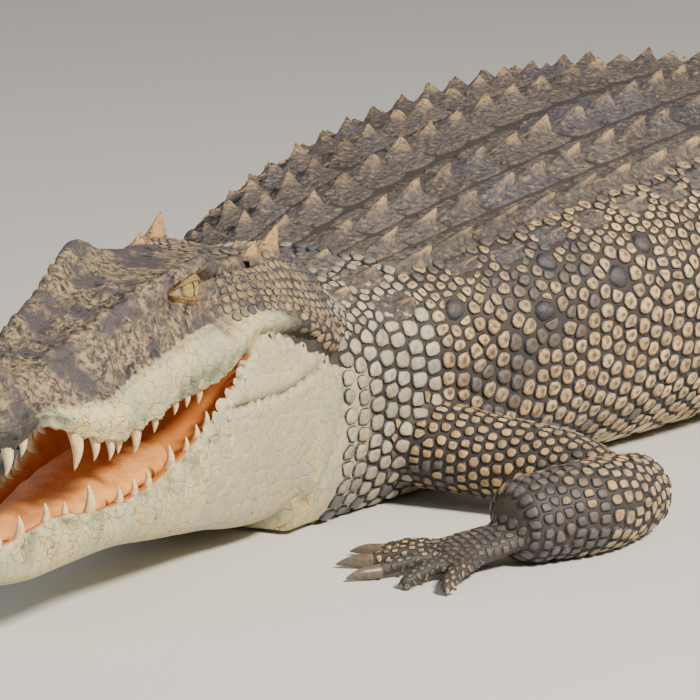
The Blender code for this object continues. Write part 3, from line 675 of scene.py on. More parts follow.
upper_rim = (part == 1) * bump(step - 4.8, 1.2) * (forward > 0.30)
lower_rim = (part == 2) * bump(step - 4.7, 1.2) * (forward > 0.30)
lift += upper_rim * (0.0075 * scallops(forward, UPPER_TEETH, 0.009) - 0.0035)
lift += lower_rim * (0.0095 * scallops(forward, LOWER_TEETH, 0.009) - 0.0045)
FLUTE_PITCH = 0.025
flutes = np.abs(np.sin(math.pi * forward / FLUTE_PITCH)) - 0.6
lift += flutes * (0.0062 * lower_rim * (forward > 0.42) + 0.0030 * upper_rim)
skin_normals = vectors_of(skin_mesh.vertex_normals, "vector")

# %% [markdown]
# Bone shows through the skin of crown and snout as a crowd of small worn lumps with pits between.
# Lumps sit at random spots of the sheet, and each is a small dome of its own height.

# %% Lumps of the crown and snout
def smooth_step(value, start, end):
    f = np.clip((value - start) / (end - start), 0.0, 1.0)
    return f * f * (3.0 - 2.0 * f)


def lumps(points, spots, size, heights):
    """Height of the nearest dome at each point."""
    near = search_tree(spots)
    rise = np.zeros(len(points))
    for i, point in enumerate(points):
        (_, j, first), (_, _, second) = near.find_n(point, 2)
        rise[i] = heights[j] * min(1.0, (second - first) / (0.55 * size)) * math.exp(-(first / size) ** 2)
    return rise


bony = (part == 1) & (step < 4.4)
bony_ids = np.flatnonzero(bony)
bony_share = (1.0 - smooth_step(step[bony_ids], 3.2, 4.4)) * smooth_step(forward[bony_ids], 0.28, 0.50)
for size, tall, count in ((0.017, 0.0080, 800), (0.0085, 0.0040, 3000)):
    spots = skin[rng.choice(bony_ids, count, replace=False)]
    heights = tall * rng.uniform(0.15, 1.0, count)
    lift[bony_ids] += bony_share * (lumps(skin[bony_ids], spots, size, heights) - 0.25 * tall)
skin = skin + skin_normals * lift[:, None]

# %% [markdown]
# ## Eyelids
# The eyelids hug the ball and leave an almond opening. Points inside the opening sink behind the
# ball's surface, so the ball shows, and points round it ride just over the ball as a thick rim.

# %% Lids over the eyeballs
LID_WIDTH, LID_HEIGHT, LID_RIM = 0.0215, 0.0100, 0.0026
OVER_BALL = 0.002
lid_zone = np.zeros(len(skin))
for eye in EYES.values():
    rel = skin - eye["centre"]
    u, v, w = rel @ eye["fore"], rel @ eye["up"] + 0.0015, rel @ eye["out"]
    near = (w > -0.004) & (np.abs(u) < 0.06) & (np.abs(v) < 0.045)
    height = LID_HEIGHT * np.where(v > 0, 0.80, 1.05) * (1.0 - 0.22 * np.clip(u / LID_WIDTH, -1.0, 1.0))
    ring = np.sqrt((u / LID_WIDTH) ** 2 + (v / height) ** 2)
    ball = np.sqrt(np.maximum(eye["radius"] ** 2 - u**2 - v**2, 0.0))
    rim = ball + LID_RIM * bump(ring - 1.12, 0.16) + 0.0008
    over = np.maximum(rim, w * smooth_step(ring, 1.5, 2.6))
    wanted = np.where(ring < 1.0, ball * 0.80 - OVER_BALL, over)
    share = np.where(near, 1.0 - smooth_step(ring, 1.35, 2.3), 0.0)
    skin = skin + eye["out"] * (share * (wanted - w))[:, None]
    rel = skin - eye["centre"]
    reach = np.linalg.norm(rel, axis=1, keepdims=True)
    covered = (reach[:, 0] < eye["radius"] + OVER_BALL) & ((ring > 1.02) | (w < 0.0))
    skin = np.where(covered[:, None], eye["centre"] + rel / reach * (eye["radius"] + OVER_BALL), skin)
    lid_zone += np.where(near, bump(ring - 1.25, 0.40), 0.0)
skin_mesh.vertices.foreach_set("co", skin.astype(np.float32).ravel())
skin_mesh.update()
print("lids stand", round(LID_RIM * 1000, 1), "mm over the balls")

# %% [markdown]
# ## Markings carried by the sheet
# Zones are kept as attributes on the points: the orange lining of the mouth, the pale cheeks, lips
# and throat, the rough crown and snout, the rims of the lips, folds and lids. Folds are painted darker
# as shade, and the lip rims carry dark blotches that are partly painted shade. Where all of them are
# nothing, the hide is painted nearly black, as shade in the gaps between the body's scales.

# %% Zones on the sheet
def set_values(mesh, name, values):
    layer = mesh.attributes.new(name, "FLOAT", "POINT")
    layer.data.foreach_set("value", np.asarray(values, np.float32))


skull_side = (part == 1).astype(float)
jaw_side = (part == 2).astype(float)
lining = skull_side * smooth_step(step, 6.0, 6.5) * smooth_step(forward, 0.16, 0.24)
lining += jaw_side * (1.0 - smooth_step(step, 2.9, 3.5)) * smooth_step(forward, 0.16, 0.24)
pale = skull_side * smooth_step(step, 2.75, 3.9) * smooth_step(forward, -0.02, 0.30)
pale *= 1.0 - 0.75 * smooth_step(forward, 0.74, 0.90)
pale += jaw_side * smooth_step(step, 2.8, 3.4) * smooth_step(forward, -0.16, -0.04)
crown = skull_side * (1.0 - smooth_step(step, 2.9, 4.2))
rim_zone = skull_side * bump(step - 5.2, 0.8) + jaw_side * bump(step - 4.0, 0.8)
ZONES = {"lining": lining, "pale": pale, "crown": crown, "rim": rim_zone * (forward > 0.25),
         "folds": crease_shade, "lids": lid_zone}
for name, zone in ZONES.items():
    set_values(skin_mesh, name, np.clip(zone, 0, 1))
FLESH = [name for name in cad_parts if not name.startswith(("eye", "claw", "tongue"))]
skin_mesh.shade_smooth()
hide = placed("hide", skin_mesh)
skin_tree = BVHTree.FromPolygons([tuple(point) for point in vectors_of(skin_mesh.vertices, "co")],
                                 [tuple(face.vertices) for face in skin_mesh.polygons])
print("hide stands for", len(FLESH), "nodes")

# %% [markdown]
# ## Scales: where they sit
# Each scale needs a seed: a point on the sheet, the direction its tip points, and a size. On the
# body, seeds stand in crosswise rows, staggered like bricks, small on the flank and large under the
# belly, with horny buttons among them. Seeds of the outer back plates only keep scales off their
# places. On legs and toes the rows run round the tube, and on the head seeds are strewn evenly.

# %% Seeds on the sheet
FLANK, BELLY, NECK, LIMB, TAILSIDE, TEMPLE, JOWL, BUTTON, PLATE = range(9)
# columns of a seed, after its point, its backward direction and its two marks on the unwrap
SIZE, HEIGHT, KIND = 8, 9, 10
# metres along the body and radians round it that span the unwrap
UNWRAP_START, UNWRAP_LENGTH, UNWRAP_TURN = 0.02, 4.0, 6.6
sheet_normals = vectors_of(skin_mesh.vertex_normals, "vector")
sheet_faces = np.empty(len(skin_mesh.polygons) * 3, np.int32)
skin_mesh.polygons.foreach_get("vertices", sheet_faces)
sheet_faces = sheet_faces.reshape(-1, 3)


def body_marks(place, angle):
    """Where a spot of trunk or tail lies on the unwrap."""
    return np.stack((place / UNWRAP_LENGTH + UNWRAP_START, 0.5 + angle / UNWRAP_TURN), axis=-1)


def girth_seeds(starts, sides, row, pitch, size, height, kind, shake=0.13):
    """Seeds in crosswise rows between two places, on both sides between two angles from the back."""
    found = []
    for n, place in enumerate(np.arange(starts[0], starts[1], row)):
        angles = np.radians(np.linspace(sides[0], sides[1], 60))
        curve = body_surface(place, angles, COAT)
        arc = lengths_along(curve)
        count = max(1, round(arc[-1] / pitch))
        spots = (np.arange(count) + 0.25 + 0.5 * (n % 2)) / count
        for side in (1, -1):
            moved = np.clip(spots + rng.normal(0, shake, count) / count, 0, 1) * arc[-1]
            where = place + rng.normal(0, shake * row, count)
            points = body_surface(where, side * np.interp(moved, arc, angles), COAT)
            turn = along(TURN, where)
            back = np.stack((-np.sin(turn), np.cos(turn), np.zeros(count)), axis=1)
            marks = body_marks(where, side * np.interp(moved, arc, angles))
            found.append((points, back, marks))
    points, back, marks = (np.vstack(part) for part in zip(*found))
    full = np.ones(len(points))
    return np.c_[points, back, marks, full * size, full * height, full * kind]


def limb_seeds(path, pitch, size, height, corner, flat=1.0, lowest=-2.0):
    """Seeds round a tube, in rows along it."""
    step = lengths_along(path[:, :3])
    ahead, side, up = tube_frames(path)
    found = []
    for n, s in enumerate(np.arange(0.3 * pitch, step[-1], pitch * 0.92)):
        centre = np.array([np.interp(s, step, path[:, k]) for k in range(4)])
        axes = [np.array([np.interp(s, step, part[:, k]) for k in range(3)]) for part in (ahead, side, up)]
        count = max(5, round(2.0 * math.pi * centre[3] * (0.5 + 0.5 * flat) / pitch))
        angles = 2.0 * math.pi * (np.arange(count) + 0.5 * (n % 2)) / count + rng.normal(0, 0.06, count)
        angles = angles[np.sin(angles) > lowest]
        for a in angles:
            point = centre[:3] + centre[3] * (axes[1] * math.cos(a) + axes[2] * math.sin(a) * flat)
            point[2] = max(point[2], 0.004)
            found.append((*point, *axes[0], corner[0] + s * 0.25, corner[1] + (a % (2 * math.pi)) / 60.0,
                          size, height, LIMB))
    return np.array(found)


def strewn_seeds(candidates, sizes, height, kind):
    """Seeds picked from candidate rows so that no two are nearer than their size."""
    order = rng.permutation(len(candidates))
    near = search_tree(candidates)
    free = np.ones(len(candidates), bool)
    chosen = []
    for i in order:
        if free[i]:
            chosen.append(i)
            for _, j, _ in near.find_range(candidates[i, :3], 1.75 * sizes[i]):
                free[j] = False
    picked = candidates[chosen]
    back = -np.array(SKULL.to_3x3().col[0])
    marks = np.c_[0.02 + 0.2 * (picked[:, FORWARD] + 0.13),
                  0.03 + picked[:, STEP] / 60.0 + 0.2 * (kind == JOWL) + 0.4 * (picked[:, LEFT] > 0)]
    full = np.ones(len(picked))
    return np.c_[picked[:, :3], np.tile(back, (len(picked), 1)), marks, sizes[chosen], full * height,
                 full * kind]


def head_candidates(profile, place, ends, forward_limits, step_limits, part):
    """Station rows within the limits, with their distance to the left."""
    rows = station_points(*ends, profile, place)
    rows = np.c_[rows, head_parts(rows[:, :3])[part][:, 1]]
    ok = (rows[:, FORWARD] > forward_limits[0]) & (rows[:, FORWARD] < forward_limits[1])
    return rows[ok & (rows[:, STEP] > step_limits[0]) & (rows[:, STEP] < step_limits[1])]


temple = head_candidates(skull_profile, skull_place, (-0.10, 0.34), (-0.1, 0.34), (0.0, 5.2), 0)
on_side_face = (temple[:, STEP] > 2.2) & (temple[:, STEP] < 3.6) & (temple[:, FORWARD] < 0.27)
temple = temple[(temple[:, FORWARD] < 0.10) | on_side_face]
jowl = head_candidates(jaw_profile, jaw_place, (-0.12, 0.36), (-0.1, 0.36), (3.6, 9.1), 1)
SCUTE_PITCH = 0.0778
OUTER_ANGLE, OUTER_HALF = math.radians(47.0), 0.0235
outer_plates = [(0.30 + SCUTE_PITCH * k + rng.normal(0, 0.004), side * (OUTER_ANGLE + rng.normal(0, 0.02)))
                for k in range(17) for side in (1, -1)]
plate_seeds = np.array([(*body_surface(place, angle, COAT), 0.0, 1.0, 0.0, 0.0, 0.0, OUTER_HALF, 0.0, PLATE)
                        for place, angle in outer_plates])
seeds = [plate_seeds,
         girth_seeds((0.27, 1.58), (58.0, 80.0), SCUTE_PITCH, 0.064, 0.0185, 0.0095, BUTTON, 0.20),
         girth_seeds((0.215, 1.60), (40.0, 62.0), 0.0155, 0.0160, 0.0084, 0.0042, FLANK, 0.12),
         girth_seeds((0.215, 1.60), (62.0, 84.0), 0.0185, 0.0190, 0.0100, 0.0047, FLANK, 0.12),
         girth_seeds((0.215, 1.60), (84.0, 128.0), 0.0215, 0.0225, 0.0120, 0.0050, FLANK, 0.11),
         girth_seeds((0.215, 1.64), (128.0, 180.0), 0.034, 0.032, 0.0175, 0.0034, BELLY, 0.05),
         girth_seeds((0.045, 0.215), (0.0, 60.0), 0.0150, 0.0150, 0.0080, 0.0035, NECK, 0.15),
         girth_seeds((0.045, 0.215), (60.0, 180.0), 0.0245, 0.0215, 0.0120, 0.0042, NECK, 0.07),
         girth_seeds((1.60, 3.72), (30.0, 128.0), 0.046, 0.030, 0.0190, 0.0045, TAILSIDE, 0.04),
         girth_seeds((1.61, 3.72), (0.0, 30.0), 0.046, 0.024, 0.0150, 0.0035, TAILSIDE, 0.06),
         girth_seeds((1.64, 3.70), (128.0, 180.0), 0.046, 0.036, 0.0200, 0.0035, TAILSIDE, 0.03),
         strewn_seeds(temple, np.full(len(temple), 0.0052), 0.0022, TEMPLE),
         strewn_seeds(jowl, 0.0062 + 0.0036 * (jowl[:, STEP] > 5.5), 0.0003, JOWL)]
for side in (1, -1):
    # each side has its own half of the unwrap
    half = 0.4 * (side > 0)
    for i, points in enumerate(LIMBS):
        size = 0.0165 if i < 2 else 0.020
        corner = (0.05 + 0.22 * i, 0.1 + half)
        seeds.append(limb_seeds(limb_path(points, side), size, size * 0.52, 0.0036, corner))
    for i, size in enumerate((HAND, FOOT)):
        palm, toes, _ = foot_paths(size, side)
        seeds.append(limb_seeds(palm, 0.0115, 0.0060, 0.0020, (0.05 + 0.3 * i, 0.3 + half), 0.45, -0.2))
        for k, toe in enumerate(toes):
            corner = (0.15 + 0.08 * k + 0.4 * i, 0.36 + half)
            seeds.append(limb_seeds(toe, 0.0105, 0.0055, 0.0018, corner, 0.9, -0.2))
seeds = np.vstack(seeds)
print("seeds:", len(seeds))

# %% [markdown]
# Each seed drops onto the sheet. A seed is left out where it fell inside another part of the body,
# or where a bigger neighbour already covers its place.

# %% Drop the seeds onto the sheet
def dropped(seeds, reach=0.024):
    """The seeds moved to the nearest point of the sheet, if within reach, and the normals there."""
    rows, normals = [], []
    for row in seeds:
        spot, _, face, _ = skin_tree.find_nearest(row[:3], reach)
        if spot is not None:
            rows.append((*spot, *row[3:]))
            normals.append(sheet_normals[sheet_faces[face]].mean(axis=0))
    rows, normals = np.array(rows), np.array(normals)
    return rows, unit(normals)


def without_crowding(seeds, normals, share=1.02, widest=0.045):
    """The seeds whose places no bigger or earlier neighbour covers."""
    near = search_tree(seeds)
    sizes = seeds[:, SIZE]
    free = np.ones(len(seeds), bool)
    for i, row in enumerate(seeds):
        if free[i]:
            for _, j, distance in near.find_range(row[:3], widest):
                if j > i and distance < share * 0.5 * (sizes[i] + sizes[j]):
                    free[i if sizes[j] > sizes[i] * 1.001 else j] = False
    return seeds[free], normals[free]


seeds, seed_normals = without_crowding(*dropped(seeds))
print("scales:", len(seeds))

# %% [markdown]
# ## Scales: their outlines
# Packed scales press each other into rounded polygons. A seed's outline in a given direction ends
# halfway to the neighbour there, nearer to the smaller of the two. A soft minimum over the twelve
# nearest neighbours rounds the corners, and a thin gap lets the hide show, painted nearly black as
# shade between the scales.

# %% Outlines from the nearest neighbours
SIDES = 12
NEVER = 9.0
spin = full_turn(SIDES)


def outlines(seeds, normals, gap, soft, neighbours=12):
    """Distance from each seed to its outline in every direction, and the seed's two flat axes."""
    near = search_tree(seeds)
    found = np.array([[j for _, j, _ in near.find_n(row[:3], neighbours + 1)][1:] for row in seeds])
    first = unit(seeds[:, 3:6] - normals * np.sum(seeds[:, 3:6] * normals, axis=1, keepdims=True))
    second = np.cross(normals, first)
    towards = seeds[found, :3] - seeds[:, None, :3]
    dx, dy = np.einsum("nmk,nk->nm", towards, first), np.einsum("nmk,nk->nm", towards, second)
    weight = seeds[:, SIZE, None] ** 2 - seeds[found, SIZE] ** 2
    facing = dx[..., None] * np.cos(spin) + dy[..., None] * np.sin(spin)
    halfway = (dx**2 + dy**2 + 0.8 * weight)[..., None] / (2.0 * np.maximum(facing, 1e-5))
    far = np.clip(np.where(facing > 1e-5, halfway, NEVER), 0.001, NEVER)
    limit, soft = 1.7 * seeds[:, SIZE, None], soft[:, None]
    radius = (np.sum(far ** -soft[..., None], axis=1) + limit**-soft) ** (-1.0 / soft)
    return np.maximum(radius - gap[:, None], 0.0012), first, second


GAPS = np.array([0.0010, 0.0012, 0.0009, 0.0010, 0.0012, 0.0006, 0.00015, 0.0012, 0.0012])
SOFTNESS = np.array([7.0, 10.0, 9.0, 8.0, 12.0, 7.0, 20.0, 7.0, 7.0])
kinds = seeds[:, KIND].astype(int)
radius, seed_ahead, seed_across = outlines(seeds, seed_normals, GAPS[kinds], SOFTNESS[kinds])
print("median scale:", round(float(np.median(radius)) * 2000, 1), "mm across")

# %% [markdown]
# ## Scales: solid domes
# A scale is a low dome on its outline: a foot sunk in the hide, a steep shoulder, a wide top and a
# middle point. The foot follows the curve of the sheet, found by a short ray down to it.

# %% Domes on the outlines
PATCH = 0.0013
TIP_LEAN = 0.10
RAY_START, RAY_REACH = 0.010, 0.022
OVER_FLOOR = 0.0004
# (share of the radius, share of the height) for each ring, foot first
PROFILES = {FLANK: ((1.0, -0.30), (0.90, 0.55), (0.55, 0.97), (0.0, 0.88)),
            BELLY: ((1.0, -0.35), (0.94, 0.70), (0.60, 0.98), (0.0, 1.0)),
            NECK: ((1.0, -0.30), (0.91, 0.62), (0.58, 0.97), (0.0, 1.0)),
            LIMB: ((1.0, -0.30), (0.91, 0.60), (0.58, 0.96), (0.0, 1.0)),
            TAILSIDE: ((1.0, -0.30), (0.93, 0.62), (0.60, 0.97), (0.0, 1.0)),
            TEMPLE: ((1.0, -0.40), (0.86, 0.55), (0.50, 0.97), (0.0, 1.0)),
            JOWL: ((1.0, -0.60), (0.90, 0.80), (0.60, 0.98), (0.0, 1.0)),
            BUTTON: ((1.0, -0.12), (0.86, 0.38), (0.42, 0.85), (0.0, 1.0))}


def foot_heights(seeds, normals, first, second, radius):
    """Height of the sheet over each scale's flat plane, under each point of its outline."""
    heights = np.zeros_like(radius)
    for i in np.flatnonzero(kinds != PLATE):
        normal = Vector(normals[i])
        for k in range(SIDES):
            towards = first[i] * math.cos(spin[k]) + second[i] * math.sin(spin[k])
            start = Vector(seeds[i, :3] + radius[i, k] * towards)
            hit = skin_tree.ray_cast(start + normal * RAY_START, -normal, RAY_REACH)
            if hit[0] is not None:
                heights[i, k] = RAY_START - hit[3]
    return heights


sag = foot_heights(seeds, seed_normals, seed_ahead, seed_across, radius)


def coat_piece(name, chosen):
    """Joined mesh of the chosen scales, with their attributes and their OFBake patches."""
    count = len(chosen)
    profile = np.array([PROFILES[kind] for kind in kinds[chosen]])
    mean = radius[chosen].mean(axis=1)
    height = seeds[chosen, HEIGHT] * np.clip(mean / seeds[chosen, SIZE], 0.35, 1.15)
    height = height * (1.0 + 0.12 * rng.normal(size=count))
    first, second, up = seed_ahead[chosen], seed_across[chosen], seed_normals[chosen]
    rings, patches, edges = [], [], []
    for level in range(3):
        share, lift = profile[:, level, 0], profile[:, level, 1]
        r = radius[chosen] * share[:, None]
        x, y = r * np.cos(spin), r * np.sin(spin)
        if level:
            x = x + TIP_LEAN * (mean * (1.0 - share))[:, None]
        z = (height * lift)[:, None] + sag[chosen] * (share**2)[:, None]
        rings.append(seeds[chosen, None, :3] + x[..., None] * first[:, None] + y[..., None] * second[:, None]
                     + z[..., None] * up[:, None])
        patches.append(np.stack((x, y), axis=-1) / mean[:, None, None] * PATCH)
        edges.append(np.full((count, SIDES), share[0]))
    tip = seeds[chosen, :3] + first * (TIP_LEAN * mean)[:, None] + up * (height * profile[:, 3, 1])[:, None]
    points = np.concatenate(rings + [tip[:, None]], axis=1)
    points[..., 2] = np.maximum(points[..., 2], OVER_FLOOR)
    size = 3 * SIDES + 1
    loops = []
    for level in range(2):
        for k in range(SIDES):
            a, b = level * SIDES + k, level * SIDES + (k + 1) % SIDES
            loops += [(a, b, b + SIDES), (a, b + SIDES, a + SIDES)]
    loops += [(2 * SIDES + k, 2 * SIDES + (k + 1) % SIDES, 3 * SIDES) for k in range(SIDES)]
    loops = np.array(loops)
    faces = (loops[None] + (np.arange(count) * size)[:, None, None]).reshape(-1, 3)
    uv = np.concatenate(patches + [np.zeros((count, 1, 2))], axis=1) + seeds[chosen, None, 6:8]
    edge = np.concatenate(edges + [np.zeros((count, 1))], axis=1)
    colour = np.repeat(scale_colours(kinds[chosen], seeds[chosen, :3], rng.random(count)), size, axis=0)
    return finished_coat(name, points.reshape(-1, 3), faces, uv.reshape(-1, 2), edge.ravel(), colour)


# %% [markdown]
# ### Colours of the scales
# Each scale has one colour of its own, from its kind: tan on the flank, cream on the belly, grey-cream
# on the neck, orange-tan on the legs, blue-black on the buttons. Dark blotches run over all but the
# jowls. The blotch field is a sum of a few waves. In the finish the middles get a brown pit and the
# rims are painted dark as shade.

# %% Own colour of each scale
def blotches(points, size=0.085):
    """Smooth field from 0 to 1 that clumps at about the given size."""
    p = points / size
    warp = np.sin(p[:, ::-1] * 0.7 + 1.3)
    waves = (np.sin(p[:, 0] * 1.3 + 1.7 * warp[:, 1]) + np.sin(p[:, 1] * 1.1 + 1.9 * warp[:, 2])
             + np.sin(p[:, 2] * 1.7 + 1.5 * warp[:, 0])
             + 0.7 * np.sin(2.7 * p[:, 0] - 2.3 * p[:, 1] + 2.1 * p[:, 2]))
    return 0.5 + 0.14 * waves


def mixed(first, second, share):
    """The second colour's share laid over the first."""
    return np.asarray(first) * (1 - share[:, None]) + np.asarray(second) * share[:, None]


PALETTE = np.array([(0.58, 0.40, 0.19), (0.62, 0.50, 0.28), (0.42, 0.365, 0.255), (0.52, 0.34, 0.145),
                    (0.42, 0.32, 0.17), (0.30, 0.205, 0.105), (0.50, 0.44, 0.28), (0.050, 0.048, 0.056)])
DARK_HORN = np.array((0.040, 0.041, 0.054))
# how readily each kind turns dark in a blotch
DARKENS = np.array([0.47, 0.12, 0.37, 0.47, 0.48, 0.50, 0.0, 0.6])
# how far single scales of a kind differ from each other
VARIES = np.array([0.56, 0.36, 0.50, 0.56, 0.50, 0.60, 0.10, 0.5])


def scale_colours(kind, roots, tone):
    warm = np.array((0.14, 0.0, -0.16)) * (rng.random((len(tone), 1)) - 0.5)
    higher = np.clip(roots[:, 2] - 0.24, -0.09, 0.12) * (kind < TEMPLE)
    field = blotches(roots) + 0.30 * (tone - 0.5) + 0.9 * higher
    dark = smooth_step(field, 1.0 - DARKENS[kind] - 0.06, 1.0 - DARKENS[kind] + 0.06) * 0.90
    colour = mixed(PALETTE[kind] * (1.0 + warm), DARK_HORN, dark)
    return colour * (1.0 + VARIES[kind] * (tone - 0.5))[:, None]


def finished_coat(name, points, faces, uv, edge, colour):
    mesh = bpy.data.meshes.new(name)
    mesh.vertices.add(len(points))
    mesh.vertices.foreach_set("co", np.asarray(points, np.float32).ravel())
    mesh.loops.add(faces.size)
    mesh.loops.foreach_set("vertex_index", faces.astype(np.int32).ravel())
    mesh.polygons.add(len(faces))
    mesh.polygons.foreach_set("loop_start", np.arange(0, faces.size, 3, dtype=np.int32))
    mesh.update(calc_edges=True)
    mesh.validate()
    mesh.shade_smooth()
    patch = mesh.uv_layers.new(name="OFBake")
    patch.uv.foreach_set("vector", np.asarray(uv[faces.ravel()], np.float32).ravel())
    layer = mesh.attributes.new("own_colour", "FLOAT_COLOR", "POINT")
    layer.data.foreach_set("color", np.c_[colour, np.ones(len(colour))].astype(np.float32).ravel())
    set_values(mesh, "edge", edge)
    return placed(name, mesh)


GROUPS = {"flank_scales": (FLANK, BUTTON), "belly_scales": (BELLY,), "neck_scales": (NECK,),
          "leg_scales": (LIMB,), "tail_scales": (TAILSIDE,), "temple_scales": (TEMPLE,),
          "jowl_scales": (JOWL,)}
coat_pieces = [coat_piece(name, np.flatnonzero(np.isin(kinds, group))) for name, group in GROUPS.items()]
for piece in coat_pieces:
    print(piece.name, len(piece.data.polygons), "triangles")

# %% [markdown]
# ## Back plates with keels
# The back carries rows of bony plates, each a rounded square with a keel that climbs to a peak near
# its rear edge, like a low fin. One function bends a square grid onto the body's outline, so plates
# of neck and trunk all come from it. The six inner rows sit on the solids' keel rows, and a looser
# row on each side stands among the flank's scales.

# %% Keeled plates on neck and trunk
PLATE_TICKS = np.linspace(-1, 1, 17)
PLATE_TICKS = 0.35 * np.sin(PLATE_TICKS * math.pi / 2) + 0.65 * PLATE_TICKS
KEEL = 0.024
KEEL_STEP = math.radians(13.5)
EDGE = 0.99


def leaf(points, height, edge, mark, u, v):
    """A plate or blade: its points, height share, edge share and patch on the unwrap."""
    patch = np.stack((mark[0] + PATCH * u, mark[1] + PATCH * v), axis=-1)
    return points.reshape(-1, 3), height.ravel(), edge.ravel(), patch.reshape(-1, 2)


def keeled_plate(place, angle, length, width, rise, fin, lean):
    """One plate on the body's outline: a cushion that rises from its rim, with a leaning fin."""
    u, v = np.meshgrid(PLATE_TICKS, PLATE_TICKS, indexing="ij")
    uu, vv = u * np.sqrt(1.0 - 0.20 * v**2) * 1.04, v * np.sqrt(1.0 - 0.20 * u**2) * 1.04
    rim = np.maximum(np.abs(u), np.abs(v))
    profile = np.interp(uu, (-1.0, -0.75, -0.2, 0.35, 0.62, 0.74, 1.0),
                        (0.0, 0.05, 0.38, 0.86, 1.0, 0.70, 0.0))
    bend = 0.10 * math.sin(place * 91.0 + angle * 40.0)
    ridge = bump(vv - bend * uu, 0.17 + 0.10 * (1.0 - profile))
    keel = profile * (0.76 * ridge + 0.24 * bump(vv, 0.50))
    uneven = 0.0012 * np.sin(11.0 * uu + place * 37.0) * np.cos(9.0 * vv + angle * 11.0)
    lift = np.where(rim > EDGE, -0.005, rise * (1.0 - 0.35 * rim**8) + uneven + fin * keel)
    where = place + 0.5 * length * uu + lean * fin * keel
    turn = angle + 0.5 * width * vv
    base = body_surface(where, turn, COAT + 0.002)
    outward = body_surface(where, turn, COAT - 0.010) - body_surface(where, turn, COAT)
    outward[..., 2] = np.maximum(outward[..., 2], 0.002)
    return leaf(base + unit(outward) * lift[..., None], keel, rim, body_marks(place, angle), uu, vv)


def grid_faces(size):
    i, j = np.meshgrid(np.arange(size - 1), np.arange(size - 1), indexing="ij")
    a = (i * size + j).ravel()
    return np.vstack((np.c_[a, a + size + 1, a + size], np.c_[a, a + 1, a + size + 1]))


def leaves_piece(name, leaves, colours, tones):
    """Joined mesh of leaves, each on a square grid and with a tone of its own."""
    size = len(leaves[0][0])
    faces = np.vstack([grid_faces(math.isqrt(size)) + i * size for i in range(len(leaves))])
    points, heights, edges, uv = (np.concatenate([leaf[k] for leaf in leaves]) for k in range(4))
    roots = np.repeat(np.array([leaf[0].mean(axis=0) for leaf in leaves]), size, axis=0)
    return finished_coat(name, points, faces, uv, edges, colours(heights, roots, np.repeat(tones, size)))


def plate_colours(keel, roots, tone):
    """Grey-brown plates with a purplish cast, and tan along the keel's top as a painted highlight."""
    # painted highlight: the keel's top turns tan, as where light catches the ridge
    tan = smooth_step(keel, 0.40, 0.80) * (0.55 + 0.45 * (tone > 0.3))
    colour = mixed((0.105, 0.084, 0.074), (0.47, 0.31, 0.145), tan)
    dark = smooth_step(blotches(roots, 0.10) + 0.5 * (tone - 0.5), 0.44, 0.60) * 0.60
    return mixed(colour, (0.055, 0.052, 0.066), dark) * (0.74 + 0.52 * tone[:, None])


plates = []
for k in range(18):
    place = 0.22 + SCUTE_PITCH * (k + 0.5)
    fin = KEEL * float(np.clip((place - 0.02) / 0.3, 0.25, 1.0))
    for row in range(3):
        for side in (1, -1):
            shift = rng.normal(0, 0.003)
            plates.append((place + shift - 0.008, side * KEEL_STEP * (row + 0.5), SCUTE_PITCH * 0.99,
                           KEEL_STEP * 0.985, 0.0045, fin * rng.uniform(0.85, 1.12), 0.45))
for place, angle in outer_plates:
    plates.append((place, angle, 0.050, math.radians(9.0), 0.0045, 0.011 * rng.uniform(0.7, 1.2), 0.4))
for place, spots in ((0.095, (0.25, 0.62)), (0.165, (0.22, 0.55, 0.92))):
    for spot in spots:
        for side in (1, -1):
            plates.append((place, side * spot * math.radians(58), 0.064, math.radians(17), 0.005, 0.011,
                           0.2))
back_plates = leaves_piece("back_plates", [keeled_plate(*row) for row in plates], plate_colours,
                           rng.random(len(plates)))
print("back plates:", len(plates), "with", len(back_plates.data.polygons), "triangles")

# %% [markdown]
# ## Tail blades
# Two rows of tall, thin, pointed blades run down the tail, draw together and go on as one row to the
# tip. Each blade is a leaf: a thick root across the tail's back, narrowing to a sharp hind edge.

# %% Tail blades in two rows, then one
CREST, BLADE_LENGTH, BLADE_PITCH = 0.070, 0.094, 0.046
BLADE_TICKS = np.linspace(-1, 1, 13)
SINK = 0.006


def tail_blade(place, side):
    """One leaf at a place of the tail. Side is 0 in the single row."""
    f = (place - BODY) / TAIL
    row = 0.5 * (1.0 - float(np.clip((f - 0.45) / 0.12, 0.0, 1.0)))
    tall = CREST * math.sin(math.pi * min(1.0, 0.15 + f * 0.85)) ** 0.6
    half = float(along(BODY_HALF, place))
    u, v = np.meshgrid(BLADE_TICKS, BLADE_TICKS, indexing="ij")
    keel = np.interp(u, (-1.0, -0.5, 0.1, 0.55, 0.72, 1.0), (0.0, 0.30, 0.78, 1.0, 0.92, 0.0))
    edge = np.abs(v)
    lift = tall * keel * (1.0 - edge**1.35) * rng.uniform(0.94, 1.0)
    where = place + 0.5 * BLADE_LENGTH * u + 0.22 * lift
    thick = max(0.004, 0.16 * half) * (1.0 - 0.62 * keel * (1.0 - edge))
    lateral = side * row * half + v * thick
    share = np.clip(np.abs(lateral) / np.maximum(along(BODY_HALF, where) - COAT, 0.004), 0.0, 0.99)
    _, z = section(where, np.sign(lateral) * np.arcsin(share ** (1 / ROUNDNESS)), COAT)
    points = to_world(where, lateral, z + lift - SINK * (edge > EDGE) - 0.004 * (np.abs(u) > EDGE))
    mark = (place / UNWRAP_LENGTH + UNWRAP_START, 0.5 + 0.02 * side)
    return leaf(points, lift / max(tall, 1e-6), edge, mark, u, v)


def blade_colours(tip, _roots, tone):
    """Dark olive-brown blades, paler towards a worn tan edge."""
    colour = mixed((0.115, 0.098, 0.075), (0.27, 0.20, 0.11), smooth_step(tip, 0.55, 0.95))
    return colour * (0.75 + 0.5 * tone[:, None])


